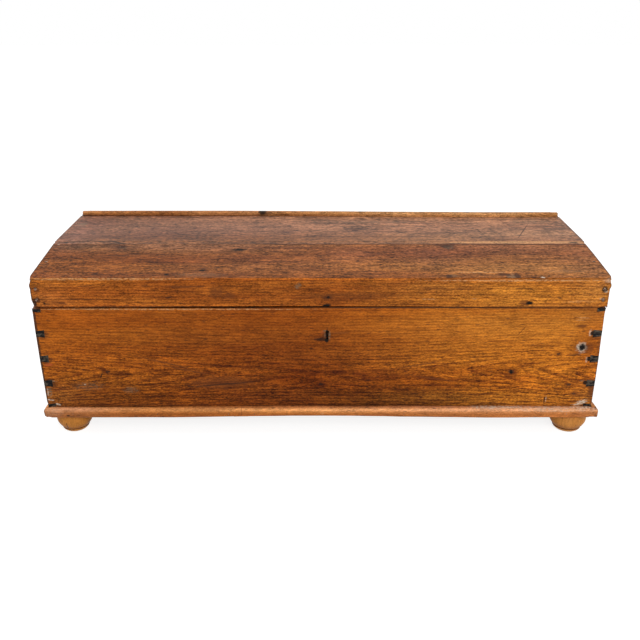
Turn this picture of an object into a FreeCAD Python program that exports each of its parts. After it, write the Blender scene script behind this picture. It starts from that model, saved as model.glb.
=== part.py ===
import FreeCAD, Part
import math
import os

# A pine blanket chest: a through-dovetailed carcass on four turned bun feet, with a mitred base
# moulding, a half-mortise iron lock, and a lid of two boards cranked over shaped ends.
# Millimetres. X runs along the chest, -Y is the front, +Z is up, and the floor is Z = 0.
# The origin is under the middle of the whole chest, hinge barrels and moulding included.

Vector = FreeCAD.Vector
os.makedirs("parts", exist_ok=True)

# Carcass
carcass_length = 1298.0
carcass_depth = 420.0
carcass_height = 255.0
carcass_board = 21.0
bottom_thickness = 20.0
bottom_board_count = 3
bottom_board_gap = 0.6

# Dovetails: the pins stand on the end boards and show as end grain on the front
full_pin_count = 3
pin_tip_height = 14.0
half_pin_tip_height = 8.0
pin_flare = 2.5

# Base moulding
moulding_height = 23.0
moulding_projection = 12.0
moulding_nose_radius = 10.0
moulding_toe_radius = 4.0
moulding_joint_x = -187.0

# Bun feet
foot_height = 54.0
foot_radius = 42.0
foot_widest_z = 34.0
foot_pad_radius = 24.0
foot_neck_radius = 36.0
foot_groove_z = 9.0
foot_groove_radius = 31.0
foot_groove_depth = 1.6
foot_groove_lip = 0.4
foot_inset_x = 44.0
foot_inset_y = 38.0
foot_pad_swell = 1.4
foot_bowl_swell = 2.4
foot_shoulder_swell = 1.2
foot_cuts_per_curve = 3
spigot_radius = 11.0

# Lid
lid_gap = 3.0
lid_overhang = 1.0
lid_front_height = 68.0
front_facet_run = 198.5
front_facet_rise = 28.0
rear_facet_slope_deg = 3.3
lid_frame_board = 21.0
lid_top_thickness = 20.0
lid_arris_radius = 3.0
top_seam_gap = 0.8

# Strip along the rear edge of the lid
bead_width = 14.0
bead_height = 12.0
bead_round = 5.5
bead_end_setback = 5.0
bead_rear_setback = 1.0

# Strap hinges
strap_width = 40.0
strap_thickness = 2.5
strap_gap = 0.4
knuckle_count = 3
lower_strap_length = 110.0
upper_strap_length = 68.0
hinge_inset = 230.0
knuckle_radius = 5.5
knuckle_gap = 0.4
hinge_axis_reach = 6.5
hinge_pin_radius = 2.5
hinge_pin_clearance = 0.05
hinge_head_radius = 4.0
hinge_head_length = 1.5

# Lock
lock_x = 16.0
keyhole_drop = 60.0
keyhole_radius = 4.0
keyhole_slot_width = 4.0
keyhole_slot_length = 18.0
lock_plate_width = 110.0
lock_plate_height = 96.0
lock_plate_thickness = 2.0
lock_body_width = 86.0
lock_body_height = 84.0
lock_wall = 2.0
lock_inside_depth = 8.5
lock_cap_thickness = 1.5
selvedge_thickness = 3.0
selvedge_depth = 16.0
lock_fit_gap = 0.3
key_pin_radius = 2.0

# Lock bolt and the staple that it holds
bolt_clearance = 0.3
bolt_side_clearance = 0.25
bolt_bar_height = 22.4
bolt_bar_length = 26.0
bolt_step_drop = 5.0
bolt_step_length = 20.0
bolt_tip_length = 9.0
bolt_tip_height = 5.0
bolt_tip_thickness = 3.4
bolt_tip_drop = 3.0
bolt_rest_gap = 1.5
bolt_link_height = 8.0
bolt_tail_width = 16.0
bolt_tail_length = 20.0
bolt_notch_width = 8.0
bolt_notch_height = 7.0
guide_rib_height = 6.0
spring_thickness = 0.8
spring_width = 6.0
spring_foot_length = 5.0
spring_reach = 10.0
spring_end_gap = 1.2
keeper_length = 52.0
keeper_width = 10.0
keeper_thickness = 2.0
staple_thickness = 4.0
staple_width = 7.0
staple_reach = 17.0
staple_eye_clearance = 0.5
staple_slot_clearance = 1.0

# Nails: square forged shanks with low four-sided heads
nail_shank = 3.0
nail_head_width = 8.0
nail_head_height = 1.4
nail_head_top_ratio = 0.45
nail_head_sink = 0.8
board_nail_length = 48.0
brad_length = 24.0
brad_shank = 2.0
brad_head_width = 4.0
strap_nail_length = 18.0
lock_nail_length = 12.0
lid_nail_inset = 13.5
front_top_nail_reach = 85.0
rear_top_nail_reach = 63.0
top_seam_nail_margin = 20.0
top_bead_nail_margin = 66.0
rail_nail_foot_margin = 16.0
rail_nail_top_margin = 6.0
bottom_nail_margin = 30.0
bottom_long_nail_margin = 320.0
bottom_long_nail_count = 4
moulding_nail_inset = 62.0
moulding_joint_nail_inset = 31.0
bead_nail_count = 5
bead_nail_margin = 22.0
strap_nail_count = 4
strap_nail_margin = 14.0
strap_nail_offset = 8.0
keeper_nail_head_width = 6.0
lock_nail_top_margin = 12.0
lock_nail_bottom_margin = 8.0

# How far the shapes that cut reach past the wood, and how near counts as touching
cut_margin = 1.0
cut_reach = 48.0
touching = 0.01

# Levels and faces that several pieces share
bottom_z = foot_height
carcass_z = bottom_z + bottom_thickness
carcass_top_z = carcass_z + carcass_height
lid_z = carcass_top_z + lid_gap
half_length = carcass_length / 2
hinge_reach = hinge_axis_reach + knuckle_radius
front_y = (moulding_projection - carcass_depth - hinge_reach) / 2
back_y = front_y + carcass_depth
inside_front_y = front_y + carcass_board
inside_back_y = back_y - carcass_board
hinge_axis_y = back_y + hinge_axis_reach
hinge_axis_z = carcass_top_z + lid_gap / 2

# Lid outline, from the front arris over the bend to the rear edge
lid_half_length = half_length + lid_overhang
lid_front_y = front_y - lid_overhang
arris_z = lid_z + lid_front_height
front_facet_slope = math.atan2(front_facet_rise, front_facet_run)
rear_facet_slope = math.radians(rear_facet_slope_deg)
bend_y = lid_front_y + front_facet_run
bend_z = arris_z + front_facet_rise
rear_run = back_y - bend_y
rear_z = bend_z + rear_run * math.tan(rear_facet_slope)


def block(x0, x1, y0, y1, z0, z1):
    """A box between two corners."""
    return Part.makeBox(x1 - x0, y1 - y0, z1 - z0, Vector(x0, y0, z0))


def prism(points, direction):
    """A closed outline, swept straight along a vector."""
    outline = Part.makePolygon(points + [points[0]])
    return Part.Face(outline).extrude(direction)


def side_prism(outline, x0, x1):
    """An outline of (y, z) points, swept from x0 to x1."""
    return prism([Vector(x0, y, z) for y, z in outline], Vector(x1 - x0, 0, 0))


def front_prism(outline, y0, y1):
    """An outline of (x, z) points, swept from y0 to y1."""
    return prism([Vector(x, y0, z) for x, z in outline], Vector(0, y1 - y0, 0))


def joined(shapes):
    """One solid from several that touch."""
    first = shapes[0]
    return first.fuse(shapes[1:]).removeSplitter()


def cut_by(shape, tools):
    """The shape less every tool."""
    return shape.cut(Part.makeCompound(tools))


def save(name, shapes):
    """Writes one sub-part; a list is a group of separate solids."""
    solids = shapes if isinstance(shapes, list) else [shapes]
    shape = solids[0] if len(solids) == 1 else Part.makeCompound(solids)
    shape.exportStep("parts/" + name + ".step")
    print(name, len(shape.Solids), "solid", round(shape.Volume / 1000, 1), "cm3", shape.isValid())


def spaced(first, last, count):
    """Evenly spaced values, both ends included."""
    step = (last - first) / (count - 1)
    return [first + step * i for i in range(count)]


# Nails

def nail(point, direction, length, shank=nail_shank, head=nail_head_width, sink=nail_head_sink):
    """A nail driven at a point on a surface, along the direction given."""
    body = Part.makeBox(shank, shank, length - sink, Vector(-shank / 2, -shank / 2, -length))
    top_inset = head * (1 - nail_head_top_ratio) / 2
    cap = Part.makeWedge(0, 0, 0, top_inset, top_inset,
                         head, nail_head_height, head, head - top_inset, head - top_inset)
    cap.rotate(Vector(0, 0, 0), Vector(1, 0, 0), 90)
    cap.translate(Vector(-head / 2, head / 2, -sink))
    solid = body.fuse(cap).removeSplitter()
    turn = FreeCAD.Rotation(Vector(0, 0, -1), direction)
    solid.Placement = FreeCAD.Placement(point, turn)
    return solid


def brad(point, direction):
    """A small-headed nail for mouldings."""
    return nail(point, direction, brad_length, brad_shank, brad_head_width, nail_head_height)


# Carcass

def pin_outlines(side):
    """Outlines (x, z) of the dovetail pins of one corner, as the front shows them."""
    tip_x = side * half_length
    root_x = side * (half_length - carcass_board)
    pitch = carcass_height / (full_pin_count + 1)
    outlines = []
    for i in range(1, full_pin_count + 1):
        z = carcass_z + pitch * i
        tip = pin_tip_height / 2
        root = tip + pin_flare
        outlines.append([(tip_x, z - tip), (tip_x, z + tip), (root_x, z + root), (root_x, z - root)])
    for edge_z, inward in ((carcass_z, 1), (carcass_top_z, -1)):
        tip_z = edge_z + inward * half_pin_tip_height
        root_z = tip_z + inward * pin_flare
        outlines.append([(tip_x, edge_z), (tip_x, tip_z), (root_x, root_z), (root_x, edge_z)])
    return outlines


def corner_pins(side, y0, y1):
    """The pins of one end board at the front or the back, as solids."""
    return [front_prism(outline, y0, y1) for outline in pin_outlines(side)]


def tail_board(y0, y1):
    """A long board with a row of tails at each end."""
    board = block(-half_length, half_length, y0, y1, carcass_z, carcass_top_z)
    sockets = corner_pins(-1, y0, y1) + corner_pins(1, y0, y1)
    return cut_by(board, sockets)


def pin_board(side):
    """An end board with pins at both its edges."""
    outer_x = side * half_length
    inner_x = side * (half_length - carcass_board)
    web = block(min(outer_x, inner_x), max(outer_x, inner_x),
                inside_front_y, inside_back_y, carcass_z, carcass_top_z)
    front = corner_pins(side, front_y, inside_front_y)
    back = corner_pins(side, inside_back_y, back_y)
    return joined([web] + front + back)


def bottom_board_edges(i):
    """Front and back edge of bottom board i, counted from the front."""
    pitch = carcass_depth / bottom_board_count
    low = front_y + pitch * i + (bottom_board_gap / 2 if i > 0 else 0)
    high = front_y + pitch * (i + 1) - (bottom_board_gap / 2 if i < bottom_board_count - 1 else 0)
    return low, high


def bottom_board(i):
    """One of the boards nailed up under the carcass."""
    low, high = bottom_board_edges(i)
    return block(-half_length, half_length, low, high, bottom_z, carcass_z)


def bottom_nails():
    """Nails up through the bottom boards into the four walls."""
    up = Vector(0, 0, 1)
    nails = []
    wall_mid = carcass_board / 2
    for i in range(bottom_board_count):
        low, high = bottom_board_edges(i)
        for side in (-1, 1):
            for y in (low + bottom_nail_margin, high - bottom_nail_margin):
                point = Vector(side * (half_length - wall_mid), y, bottom_z)
                nails.append(nail(point, up, board_nail_length, sink=nail_head_height))
    reach = half_length - bottom_long_nail_margin
    for x in spaced(-reach, reach, bottom_long_nail_count):
        for y in (front_y + wall_mid, back_y - wall_mid):
            nails.append(nail(Vector(x, y, bottom_z), up, board_nail_length, sink=nail_head_height))
    return nails


# Base moulding

def moulding_face():
    """Section of the base moulding, with its back at u = 0 and its foot at w = 0."""
    nose = moulding_nose_radius
    toe = moulding_toe_radius
    depth = moulding_projection
    height = moulding_height
    lift = math.sin(math.radians(45))
    nose_mid = (depth - nose + nose * lift, height - nose + nose * lift)
    toe_mid = (depth - toe + toe * lift, toe - toe * lift)
    points = [(0, 0), (depth - toe, 0), (depth, toe),
              (depth, height - nose), (depth - nose, height), (0, height)]
    corners = [Vector(0, -u, w) for u, w in points]
    toe_arc = Part.Arc(corners[1], Vector(0, -toe_mid[0], toe_mid[1]), corners[2]).toShape()
    nose_arc = Part.Arc(corners[3], Vector(0, -nose_mid[0], nose_mid[1]), corners[4]).toShape()
    edges = [Part.makeLine(corners[0], corners[1]), toe_arc, Part.makeLine(corners[2], corners[3]),
             nose_arc, Part.makeLine(corners[4], corners[5]), Part.makeLine(corners[5], corners[0])]
    return Part.Face(Part.Wire(edges))


def mitre_wedge(side):
    """Everything on the end side of a front corner's mitre plane."""
    corner = Vector(side * half_length, front_y, bottom_z - cut_margin)
    out = Vector(side * cut_reach, -cut_reach, 0)
    points = [corner - out, corner + out, corner + Vector(side * cut_reach, cut_reach, 0)]
    return prism(points, Vector(0, 0, moulding_height + 2 * cut_margin))


def front_moulding(x0, x1):
    """A length of the front moulding, mitred where it reaches a corner."""
    start = x0 - moulding_projection if x0 <= -half_length else x0
    end = x1 + moulding_projection if x1 >= half_length else x1
    length = moulding_face().extrude(Vector(end - start, 0, 0))
    length.translate(Vector(start, front_y, bottom_z))
    return cut_by(length, [mitre_wedge(-1), mitre_wedge(1)])


def end_moulding(side):
    """The moulding of one end, mitred at the front and square at the back."""
    start = front_y - moulding_projection
    length = moulding_face().extrude(Vector(back_y - start, 0, 0))
    length.rotate(Vector(0, 0, 0), Vector(0, 0, 1), 90)
    if side < 0:
        length = length.mirror(Vector(0, 0, 0), Vector(1, 0, 0))
    length.translate(Vector(side * half_length, start, bottom_z))
    return length.common(mitre_wedge(side).fuse(end_moulding_zone(side)))


def end_moulding_zone(side):
    """The space beside the carcass behind the mitre wedge."""
    x0 = side * half_length
    x1 = side * (half_length + cut_reach)
    return block(min(x0, x1), max(x0, x1), front_y, back_y,
                 bottom_z - cut_margin, bottom_z + moulding_height + cut_margin)


def moulding_nails():
    """Brads along the middle of the moulding, into the bottom boards."""
    z = bottom_z + (moulding_height - moulding_nose_radius + moulding_toe_radius) / 2
    face_y = front_y - moulding_projection
    ends = half_length - moulding_nail_inset
    left_mid = (-ends + moulding_joint_x) / 2
    right_mid = (ends + moulding_joint_x) / 2
    before_joint = moulding_joint_x - moulding_joint_nail_inset
    after_joint = moulding_joint_x + moulding_joint_nail_inset
    xs = [-ends, left_mid, before_joint, after_joint, right_mid, ends]
    nails = [brad(Vector(x, face_y, z), Vector(0, 1, 0)) for x in xs]
    for side in (-1, 1):
        face_x = side * (half_length + moulding_projection)
        for y in (front_y + moulding_nail_inset, back_y - moulding_nail_inset):
            nails.append(brad(Vector(face_x, y, z), Vector(-side, 0, 0)))
    return nails


# Feet

def foot_center(side_x, side_y):
    """Middle of a foot on the floor."""
    x = side_x * (half_length - foot_inset_x)
    y = front_y + foot_inset_y if side_y < 0 else back_y - foot_inset_y
    return Vector(x, y, 0)


def stepped_arc(start, end, swell):
    """Points along an arc that swells out past its chord, as the turner's short straight cuts."""
    middle = (start + end) * 0.5 + Vector(swell, 0, 0)
    curve = Part.Arc(start, middle, end)
    stops = spaced(curve.FirstParameter, curve.LastParameter, foot_cuts_per_curve + 1)
    return [curve.value(stop) for stop in stops]


def foot_outline():
    """Half the section of a foot: pad, groove, bowl, shoulder and spigot."""
    def at(radius, z):
        return Vector(radius, 0, z)

    groove_low = at(foot_groove_radius, foot_groove_z)
    groove_in = at(foot_groove_radius - foot_groove_depth, foot_groove_z + foot_groove_depth / 2)
    groove_high = at(foot_groove_radius + foot_groove_lip, foot_groove_z + foot_groove_depth)
    widest = at(foot_radius, foot_widest_z)
    neck = at(foot_neck_radius, foot_height)
    spigot_top = foot_height + bottom_thickness
    points = [at(0, 0)]
    points += stepped_arc(at(foot_pad_radius, 0), groove_low, foot_pad_swell)
    points += [groove_in]
    points += stepped_arc(groove_high, widest, foot_bowl_swell)
    points += stepped_arc(widest, neck, foot_shoulder_swell)[1:]
    points += [at(spigot_radius, foot_height), at(spigot_radius, spigot_top), at(0, spigot_top), at(0, 0)]
    return Part.Face(Part.makePolygon(points))


def bun_foot(side_x, side_y):
    """A turned bun foot with a groove near its pad and a spigot on top."""
    foot = foot_outline().revolve(Vector(0, 0, 0), Vector(0, 0, 1), 360)
    foot.translate(foot_center(side_x, side_y))
    return foot


def spigot_hole(side_x, side_y):
    """The hole in the bottom boards for a foot's spigot."""
    base = foot_center(side_x, side_y) + Vector(0, 0, bottom_z)
    return Part.makeCylinder(spigot_radius, bottom_thickness, base)


# Lid frame and top

def front_under_z(y):
    """Underside of the front top board."""
    top_z = arris_z + (y - lid_front_y) * math.tan(front_facet_slope)
    return top_z - lid_top_thickness / math.cos(front_facet_slope)


def rear_under_z(y):
    """Underside of the rear top board."""
    top_z = bend_z + (y - bend_y) * math.tan(rear_facet_slope)
    return top_z - lid_top_thickness / math.cos(rear_facet_slope)


def under_bend():
    """Where the two undersides meet, in the plane of the seam."""
    gap_at_bend = front_under_z(bend_y) - rear_under_z(bend_y)
    slope_step = math.tan(rear_facet_slope) - math.tan(front_facet_slope)
    y = bend_y + gap_at_bend / slope_step
    return y, rear_under_z(y)


def top_boards():
    """The front and the rear board of the top, parted by the seam."""
    under_y, under_z = under_bend()
    front = [(lid_front_y, arris_z), (bend_y, bend_z), (under_y, under_z),
             (lid_front_y, front_under_z(lid_front_y))]
    rear = [(bend_y, bend_z), (back_y, rear_z), (back_y, rear_under_z(back_y)), (under_y, under_z)]
    half = top_seam_gap / 2
    seam_top = bend_z + cut_margin
    seam_foot = under_z - cut_margin
    seam_end = lid_half_length + cut_margin
    seam = side_prism([(bend_y - half, seam_top), (bend_y + half, seam_top),
                       (under_y + half, seam_foot), (under_y - half, seam_foot)], -seam_end, seam_end)
    front_board = side_prism(front, -lid_half_length, lid_half_length).cut(seam)
    rear_board = side_prism(rear, -lid_half_length, lid_half_length).cut(seam)
    return rounded_arris(front_board), rear_board


def rounded_arris(board):
    """The front top board with its front arris worn round."""
    edges = []
    for edge in board.Edges:
        middle = edge.CenterOfMass
        on_arris = abs(middle.y - lid_front_y) < touching and abs(middle.z - arris_z) < touching
        if on_arris:
            edges.append(edge)
    return board.makeFillet(lid_arris_radius, edges)


def lid_front_rail():
    """The rail under the front edge of the top, planed to its slope."""
    inner_y = lid_front_y + lid_frame_board
    outline = [(lid_front_y, lid_z), (inner_y, lid_z), (inner_y, front_under_z(inner_y)),
               (lid_front_y, front_under_z(lid_front_y))]
    return side_prism(outline, -lid_half_length, lid_half_length)


def lid_back_rail():
    """The rail under the rear edge of the top."""
    inner_y = back_y - lid_frame_board
    outline = [(inner_y, lid_z), (back_y, lid_z), (back_y, rear_under_z(back_y)),
               (inner_y, rear_under_z(inner_y))]
    return side_prism(outline, -lid_half_length, lid_half_length)


def lid_end(side):
    """A shaped end of the lid, between the two rails."""
    start_y = lid_front_y + lid_frame_board
    end_y = back_y - lid_frame_board
    outline = [(start_y, lid_z), (end_y, lid_z), (end_y, rear_under_z(end_y)), under_bend(),
               (start_y, front_under_z(start_y))]
    outer = side * lid_half_length
    inner = side * (lid_half_length - lid_frame_board)
    return side_prism(outline, min(outer, inner), max(outer, inner))


def on_rear_facet(shape):
    """Turns a shape about the lid's rear edge from level to the slope of the rear facet."""
    turned = shape.copy()
    turned.rotate(Vector(0, back_y, rear_z), Vector(1, 0, 0), rear_facet_slope_deg)
    return turned


def lid_back_bead():
    """The round-nosed strip along the rear edge of the top."""
    half = lid_half_length - bead_end_setback
    end_y = back_y - bead_rear_setback
    bead = block(-half, half, end_y - bead_width, end_y, rear_z, rear_z + bead_height)
    top_edges = []
    for edge in bead.Edges:
        on_top = abs(edge.CenterOfMass.z - rear_z - bead_height) < touching
        if on_top and edge.Length > bead_width + touching:
            top_edges.append(edge)
    return on_rear_facet(bead.makeFillet(bead_round, top_edges))


def bead_nails():
    """Nails down through the bead into the back rail."""
    y = back_y - bead_rear_setback - bead_width / 2
    ends = lid_half_length - bead_end_setback - bead_nail_margin
    top = rear_z + bead_height
    down = Vector(0, 0, -1)
    return [on_rear_facet(brad(Vector(x, y, top), down)) for x in spaced(-ends, ends, bead_nail_count)]


def top_nails():
    """Nails down through the top boards into the shaped ends."""
    x = lid_half_length - lid_nail_inset
    nails = []
    front_last = front_facet_run / math.cos(front_facet_slope) - top_seam_nail_margin
    rear_last = rear_run / math.cos(rear_facet_slope) - bead_width - top_bead_nail_margin
    facets = ((lid_front_y, arris_z, front_facet_slope, (front_top_nail_reach, front_last)),
              (bend_y, bend_z, rear_facet_slope, (rear_top_nail_reach, rear_last)))
    for start_y, start_z, slope, reaches in facets:
        into = Vector(0, math.sin(slope), -math.cos(slope))
        for along in reaches:
            for side in (-1, 1):
                y = start_y + along * math.cos(slope)
                z = start_z + along * math.sin(slope)
                nails.append(nail(Vector(side * x, y, z), into, board_nail_length))
    return nails


def rail_nails():
    """Nails through the rails into the end grain of the lid's ends."""
    x = lid_half_length - lid_nail_inset
    nails = []
    faces = ((lid_front_y, front_under_z(lid_front_y), Vector(0, 1, 0)),
             (back_y, rear_under_z(back_y), Vector(0, -1, 0)))
    for y, top_z, into in faces:
        for z in (lid_z + rail_nail_foot_margin, top_z - rail_nail_top_margin):
            for side in (-1, 1):
                nails.append(nail(Vector(side * x, y, z), into, board_nail_length))
    return nails


# Hinges

def knuckle_spans(x):
    """The barrel lengths of the hinge at x, left to right."""
    length = (strap_width - (knuckle_count - 1) * knuckle_gap) / knuckle_count
    left = x - strap_width / 2
    step = length + knuckle_gap
    return [(left + step * i, left + step * i + length) for i in range(knuckle_count)]


def strap_tongue(x, z_root, z_tip, y0, y1):
    """The upright tongue of a strap, with a round end."""
    direction = 1 if z_tip > z_root else -1
    radius = strap_width / 2
    arc_z = z_tip - direction * radius
    straight = block(x - radius, x + radius, y0, y1, min(z_root, arc_z), max(z_root, arc_z))
    tip = Part.makeCylinder(radius, y1 - y0, Vector(x, y0, arc_z), Vector(0, 1, 0))
    return straight.fuse(tip).removeSplitter()


def hinge_strap(x, upper):
    """One half of a hinge: tongue, cranked leaf over the board's edge, and its knuckles."""
    sign = 1 if upper else -1
    near_z = hinge_axis_z + sign * strap_gap / 2
    far_z = near_z + sign * strap_thickness
    length = upper_strap_length if upper else lower_strap_length
    wall_y = back_y - (lid_frame_board if upper else carcass_board)
    tongue_y = wall_y - strap_thickness
    left = x - strap_width / 2
    right = x + strap_width / 2
    low, high = min(near_z, far_z), max(near_z, far_z)
    tongue = strap_tongue(x, near_z, near_z + sign * length, tongue_y, wall_y)
    leaf = block(left, right, tongue_y, back_y, low, high)
    own = knuckle_spans(x)[1::2] if upper else knuckle_spans(x)[0::2]
    pieces = [tongue, leaf]
    bores = []
    for start, end in own:
        axis_start = Vector(start, hinge_axis_y, hinge_axis_z)
        pieces.append(block(start, end, back_y, hinge_axis_y, low, high))
        pieces.append(Part.makeCylinder(knuckle_radius, end - start, axis_start, Vector(1, 0, 0)))
        bore = hinge_pin_radius + hinge_pin_clearance
        bores.append(Part.makeCylinder(bore, end - start, axis_start, Vector(1, 0, 0)))
    return cut_by(joined(pieces), bores)


def hinge_pin(x):
    """The hinge pin, with its ends hammered over."""
    along = Vector(1, 0, 0)
    left = Vector(x - strap_width / 2, hinge_axis_y, hinge_axis_z)
    right = left + along * strap_width
    shaft = Part.makeCylinder(hinge_pin_radius, strap_width, left, along)
    left_head = Part.makeCylinder(hinge_head_radius, hinge_head_length, left, -along)
    right_head = Part.makeCylinder(hinge_head_radius, hinge_head_length, right, along)
    return joined([shaft, left_head, right_head])


def leaf_recess(x, upper):
    """The shallow notch that lets a leaf into the edge of its board."""
    edge_z = lid_z if upper else carcass_top_z
    sign = 1 if upper else -1
    far_z = hinge_axis_z + sign * (strap_gap / 2 + strap_thickness)
    half = strap_width / 2
    wall = lid_frame_board if upper else carcass_board
    return block(x - half, x + half, back_y - wall, back_y, min(edge_z, far_z), max(edge_z, far_z))


def strap_nails(x, upper):
    """Nails through a strap's tongue into its board."""
    sign = 1 if upper else -1
    length = upper_strap_length if upper else lower_strap_length
    y = back_y - (lid_frame_board if upper else carcass_board) - strap_thickness
    first = hinge_axis_z + sign * strap_nail_margin
    last = hinge_axis_z + sign * (length - strap_nail_margin)
    nails = []
    for i, z in enumerate(spaced(first, last, strap_nail_count)):
        side = 0 if i == strap_nail_count - 1 else (-1) ** i
        point = Vector(x + side * strap_nail_offset, y, z)
        nails.append(nail(point, Vector(0, 1, 0), strap_nail_length, sink=0.0))
    return nails


# Lock

lock_left = lock_x - lock_body_width / 2
lock_right = lock_x + lock_body_width / 2
lock_floor_y = inside_front_y - lock_plate_thickness
lock_cap_y = lock_floor_y - lock_inside_depth
lock_ceiling_z = carcass_top_z - selvedge_thickness
lock_bottom_z = carcass_top_z - lock_body_height
keyhole_z = carcass_top_z - keyhole_drop
staple_bottom_z = lid_z - staple_reach
bolt_mid_y = lock_floor_y - lock_inside_depth / 2
bolt_shoulder_x = lock_x - staple_thickness / 2 - bolt_rest_gap - bolt_tip_length
bolt_top_z = lock_ceiling_z - bolt_clearance
bolt_under_z = bolt_top_z - bolt_bar_height
bolt_tip_top_z = bolt_top_z - bolt_tip_drop


def keyhole(y0, y1):
    """A round hole with a slot below it."""
    bore = Part.makeCylinder(keyhole_radius, y1 - y0, Vector(lock_x, y0, keyhole_z), Vector(0, 1, 0))
    half = keyhole_slot_width / 2
    slot = block(lock_x - half, lock_x + half, y0, y1, keyhole_z - keyhole_slot_length, keyhole_z)
    return bore.fuse(slot)


def lock_mortise():
    """What the lock needs out of the front board, from its inner face."""
    gap = lock_fit_gap
    plate_half = lock_plate_width / 2 + gap
    plate = block(lock_x - plate_half, lock_x + plate_half, lock_floor_y, inside_front_y,
                  carcass_top_z - lock_plate_height - gap, carcass_top_z)
    body = block(lock_left - gap, lock_right + gap, lock_cap_y - lock_cap_thickness - gap, inside_front_y,
                 lock_bottom_z - gap, carcass_top_z)
    edge = block(lock_x - plate_half, lock_x + plate_half,
                 inside_front_y - selvedge_depth - gap, inside_front_y, lock_ceiling_z, carcass_top_z)
    return joined([plate, body, edge])


def lock_case():
    """Back plate, selvedge along the top edge, three walls and the bolt's guide rib."""
    plate_half = lock_plate_width / 2
    plate = block(lock_x - plate_half, lock_x + plate_half, lock_floor_y, inside_front_y,
                  carcass_top_z - lock_plate_height, carcass_top_z)
    selvedge = block(lock_x - plate_half, lock_x + plate_half,
                     inside_front_y - selvedge_depth, inside_front_y, lock_ceiling_z, carcass_top_z)
    left = block(lock_left, lock_left + lock_wall, lock_cap_y, lock_floor_y, lock_bottom_z, lock_ceiling_z)
    right = block(lock_right - lock_wall, lock_right, lock_cap_y, lock_floor_y, lock_bottom_z, lock_ceiling_z)
    bottom = block(lock_left, lock_right, lock_cap_y, lock_floor_y, lock_bottom_z, lock_bottom_z + lock_wall)
    rib_top = bolt_under_z - bolt_clearance
    rib_end = lock_x - bolt_tail_width / 2 - bolt_rest_gap
    rib = block(lock_left, rib_end, lock_cap_y, lock_floor_y, rib_top - guide_rib_height, rib_top)
    half_x = staple_thickness / 2 + staple_slot_clearance
    half_y = staple_width / 2 + staple_slot_clearance
    slot = block(lock_x - half_x, lock_x + half_x, bolt_mid_y - half_y, bolt_mid_y + half_y,
                 lock_ceiling_z, carcass_top_z)
    return joined([plate, selvedge, left, right, bottom, rib]).cut(slot)


def lock_cap():
    """The thin plate that closes the lock towards the wood, with the keyhole in it."""
    plate = block(lock_left, lock_right,
                  lock_cap_y - lock_cap_thickness, lock_cap_y, lock_bottom_z, lock_ceiling_z)
    return plate.cut(keyhole(lock_cap_y - lock_cap_thickness, lock_cap_y))


def lock_key_pin():
    """The pin that a pipe key turns on."""
    length = lock_inside_depth + lock_cap_thickness
    foot = Vector(lock_x, lock_floor_y - length, keyhole_z)
    return Part.makeCylinder(key_pin_radius, length, foot, Vector(0, 1, 0))


def lock_bolt():
    """The sliding bolt: bar with a step for the spring, thin tip, link and notched tail."""
    left = bolt_shoulder_x - bolt_bar_length
    step_x = left + bolt_step_length
    step_z = bolt_top_z - bolt_step_drop
    tail_left = lock_x - bolt_tail_width / 2
    tail_right = lock_x + bolt_tail_width / 2
    link_z = bolt_under_z + bolt_link_height
    tail_z = bolt_under_z - bolt_tail_length
    notch_half = bolt_notch_width / 2
    notch_z = tail_z + bolt_notch_height
    outline = [(left, step_z), (step_x, step_z), (step_x, bolt_top_z), (bolt_shoulder_x, bolt_top_z),
               (bolt_shoulder_x, link_z), (tail_right, link_z), (tail_right, tail_z),
               (lock_x + notch_half, tail_z), (lock_x + notch_half, notch_z),
               (lock_x - notch_half, notch_z), (lock_x - notch_half, tail_z),
               (tail_left, tail_z), (tail_left, bolt_under_z), (left, bolt_under_z)]
    half = lock_inside_depth / 2 - bolt_side_clearance
    bar = front_prism(outline, bolt_mid_y - half, bolt_mid_y + half)
    tip_half = bolt_tip_thickness / 2
    tip = block(bolt_shoulder_x, bolt_shoulder_x + bolt_tip_length,
                bolt_mid_y - tip_half, bolt_mid_y + tip_half,
                bolt_tip_top_z - bolt_tip_height, bolt_tip_top_z)
    return bar.fuse(tip).removeSplitter()


def lock_spring():
    """A leaf under the selvedge that bears on the bolt's step."""
    left = bolt_shoulder_x - bolt_bar_length + spring_end_gap
    bend_x = left + spring_foot_length
    tip_x = bend_x + spring_reach
    tip_z = bolt_top_z - bolt_step_drop + bolt_clearance
    top = lock_ceiling_z
    outline = [(left, top), (bend_x, top), (tip_x, tip_z + spring_thickness), (tip_x, tip_z),
               (bend_x, top - spring_thickness), (left, top - spring_thickness)]
    return front_prism(outline, bolt_mid_y - spring_width / 2, bolt_mid_y + spring_width / 2)


def keeper_recess():
    """The notch in the lid's front rail for the keeper plate."""
    half = keeper_length / 2
    return block(lock_x - half, lock_x + half, bolt_mid_y - keeper_width / 2, bolt_mid_y + keeper_width / 2,
                 lid_z, lid_z + keeper_thickness)


def lock_keeper():
    """The plate under the lid's front rail, with the staple that the bolt enters."""
    plate = keeper_recess()
    half_x = staple_thickness / 2
    half_y = staple_width / 2
    lug = block(lock_x - half_x, lock_x + half_x,
                bolt_mid_y - half_y, bolt_mid_y + half_y, staple_bottom_z, lid_z)
    eye_half = bolt_tip_thickness / 2 + staple_eye_clearance
    eye_top_z = bolt_tip_top_z + staple_eye_clearance
    eye_foot_z = bolt_tip_top_z - bolt_tip_height - staple_eye_clearance
    eye = block(lock_x - half_x, lock_x + half_x,
                bolt_mid_y - eye_half, bolt_mid_y + eye_half, eye_foot_z, eye_top_z)
    return plate.fuse(lug).removeSplitter().cut(eye)


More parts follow.
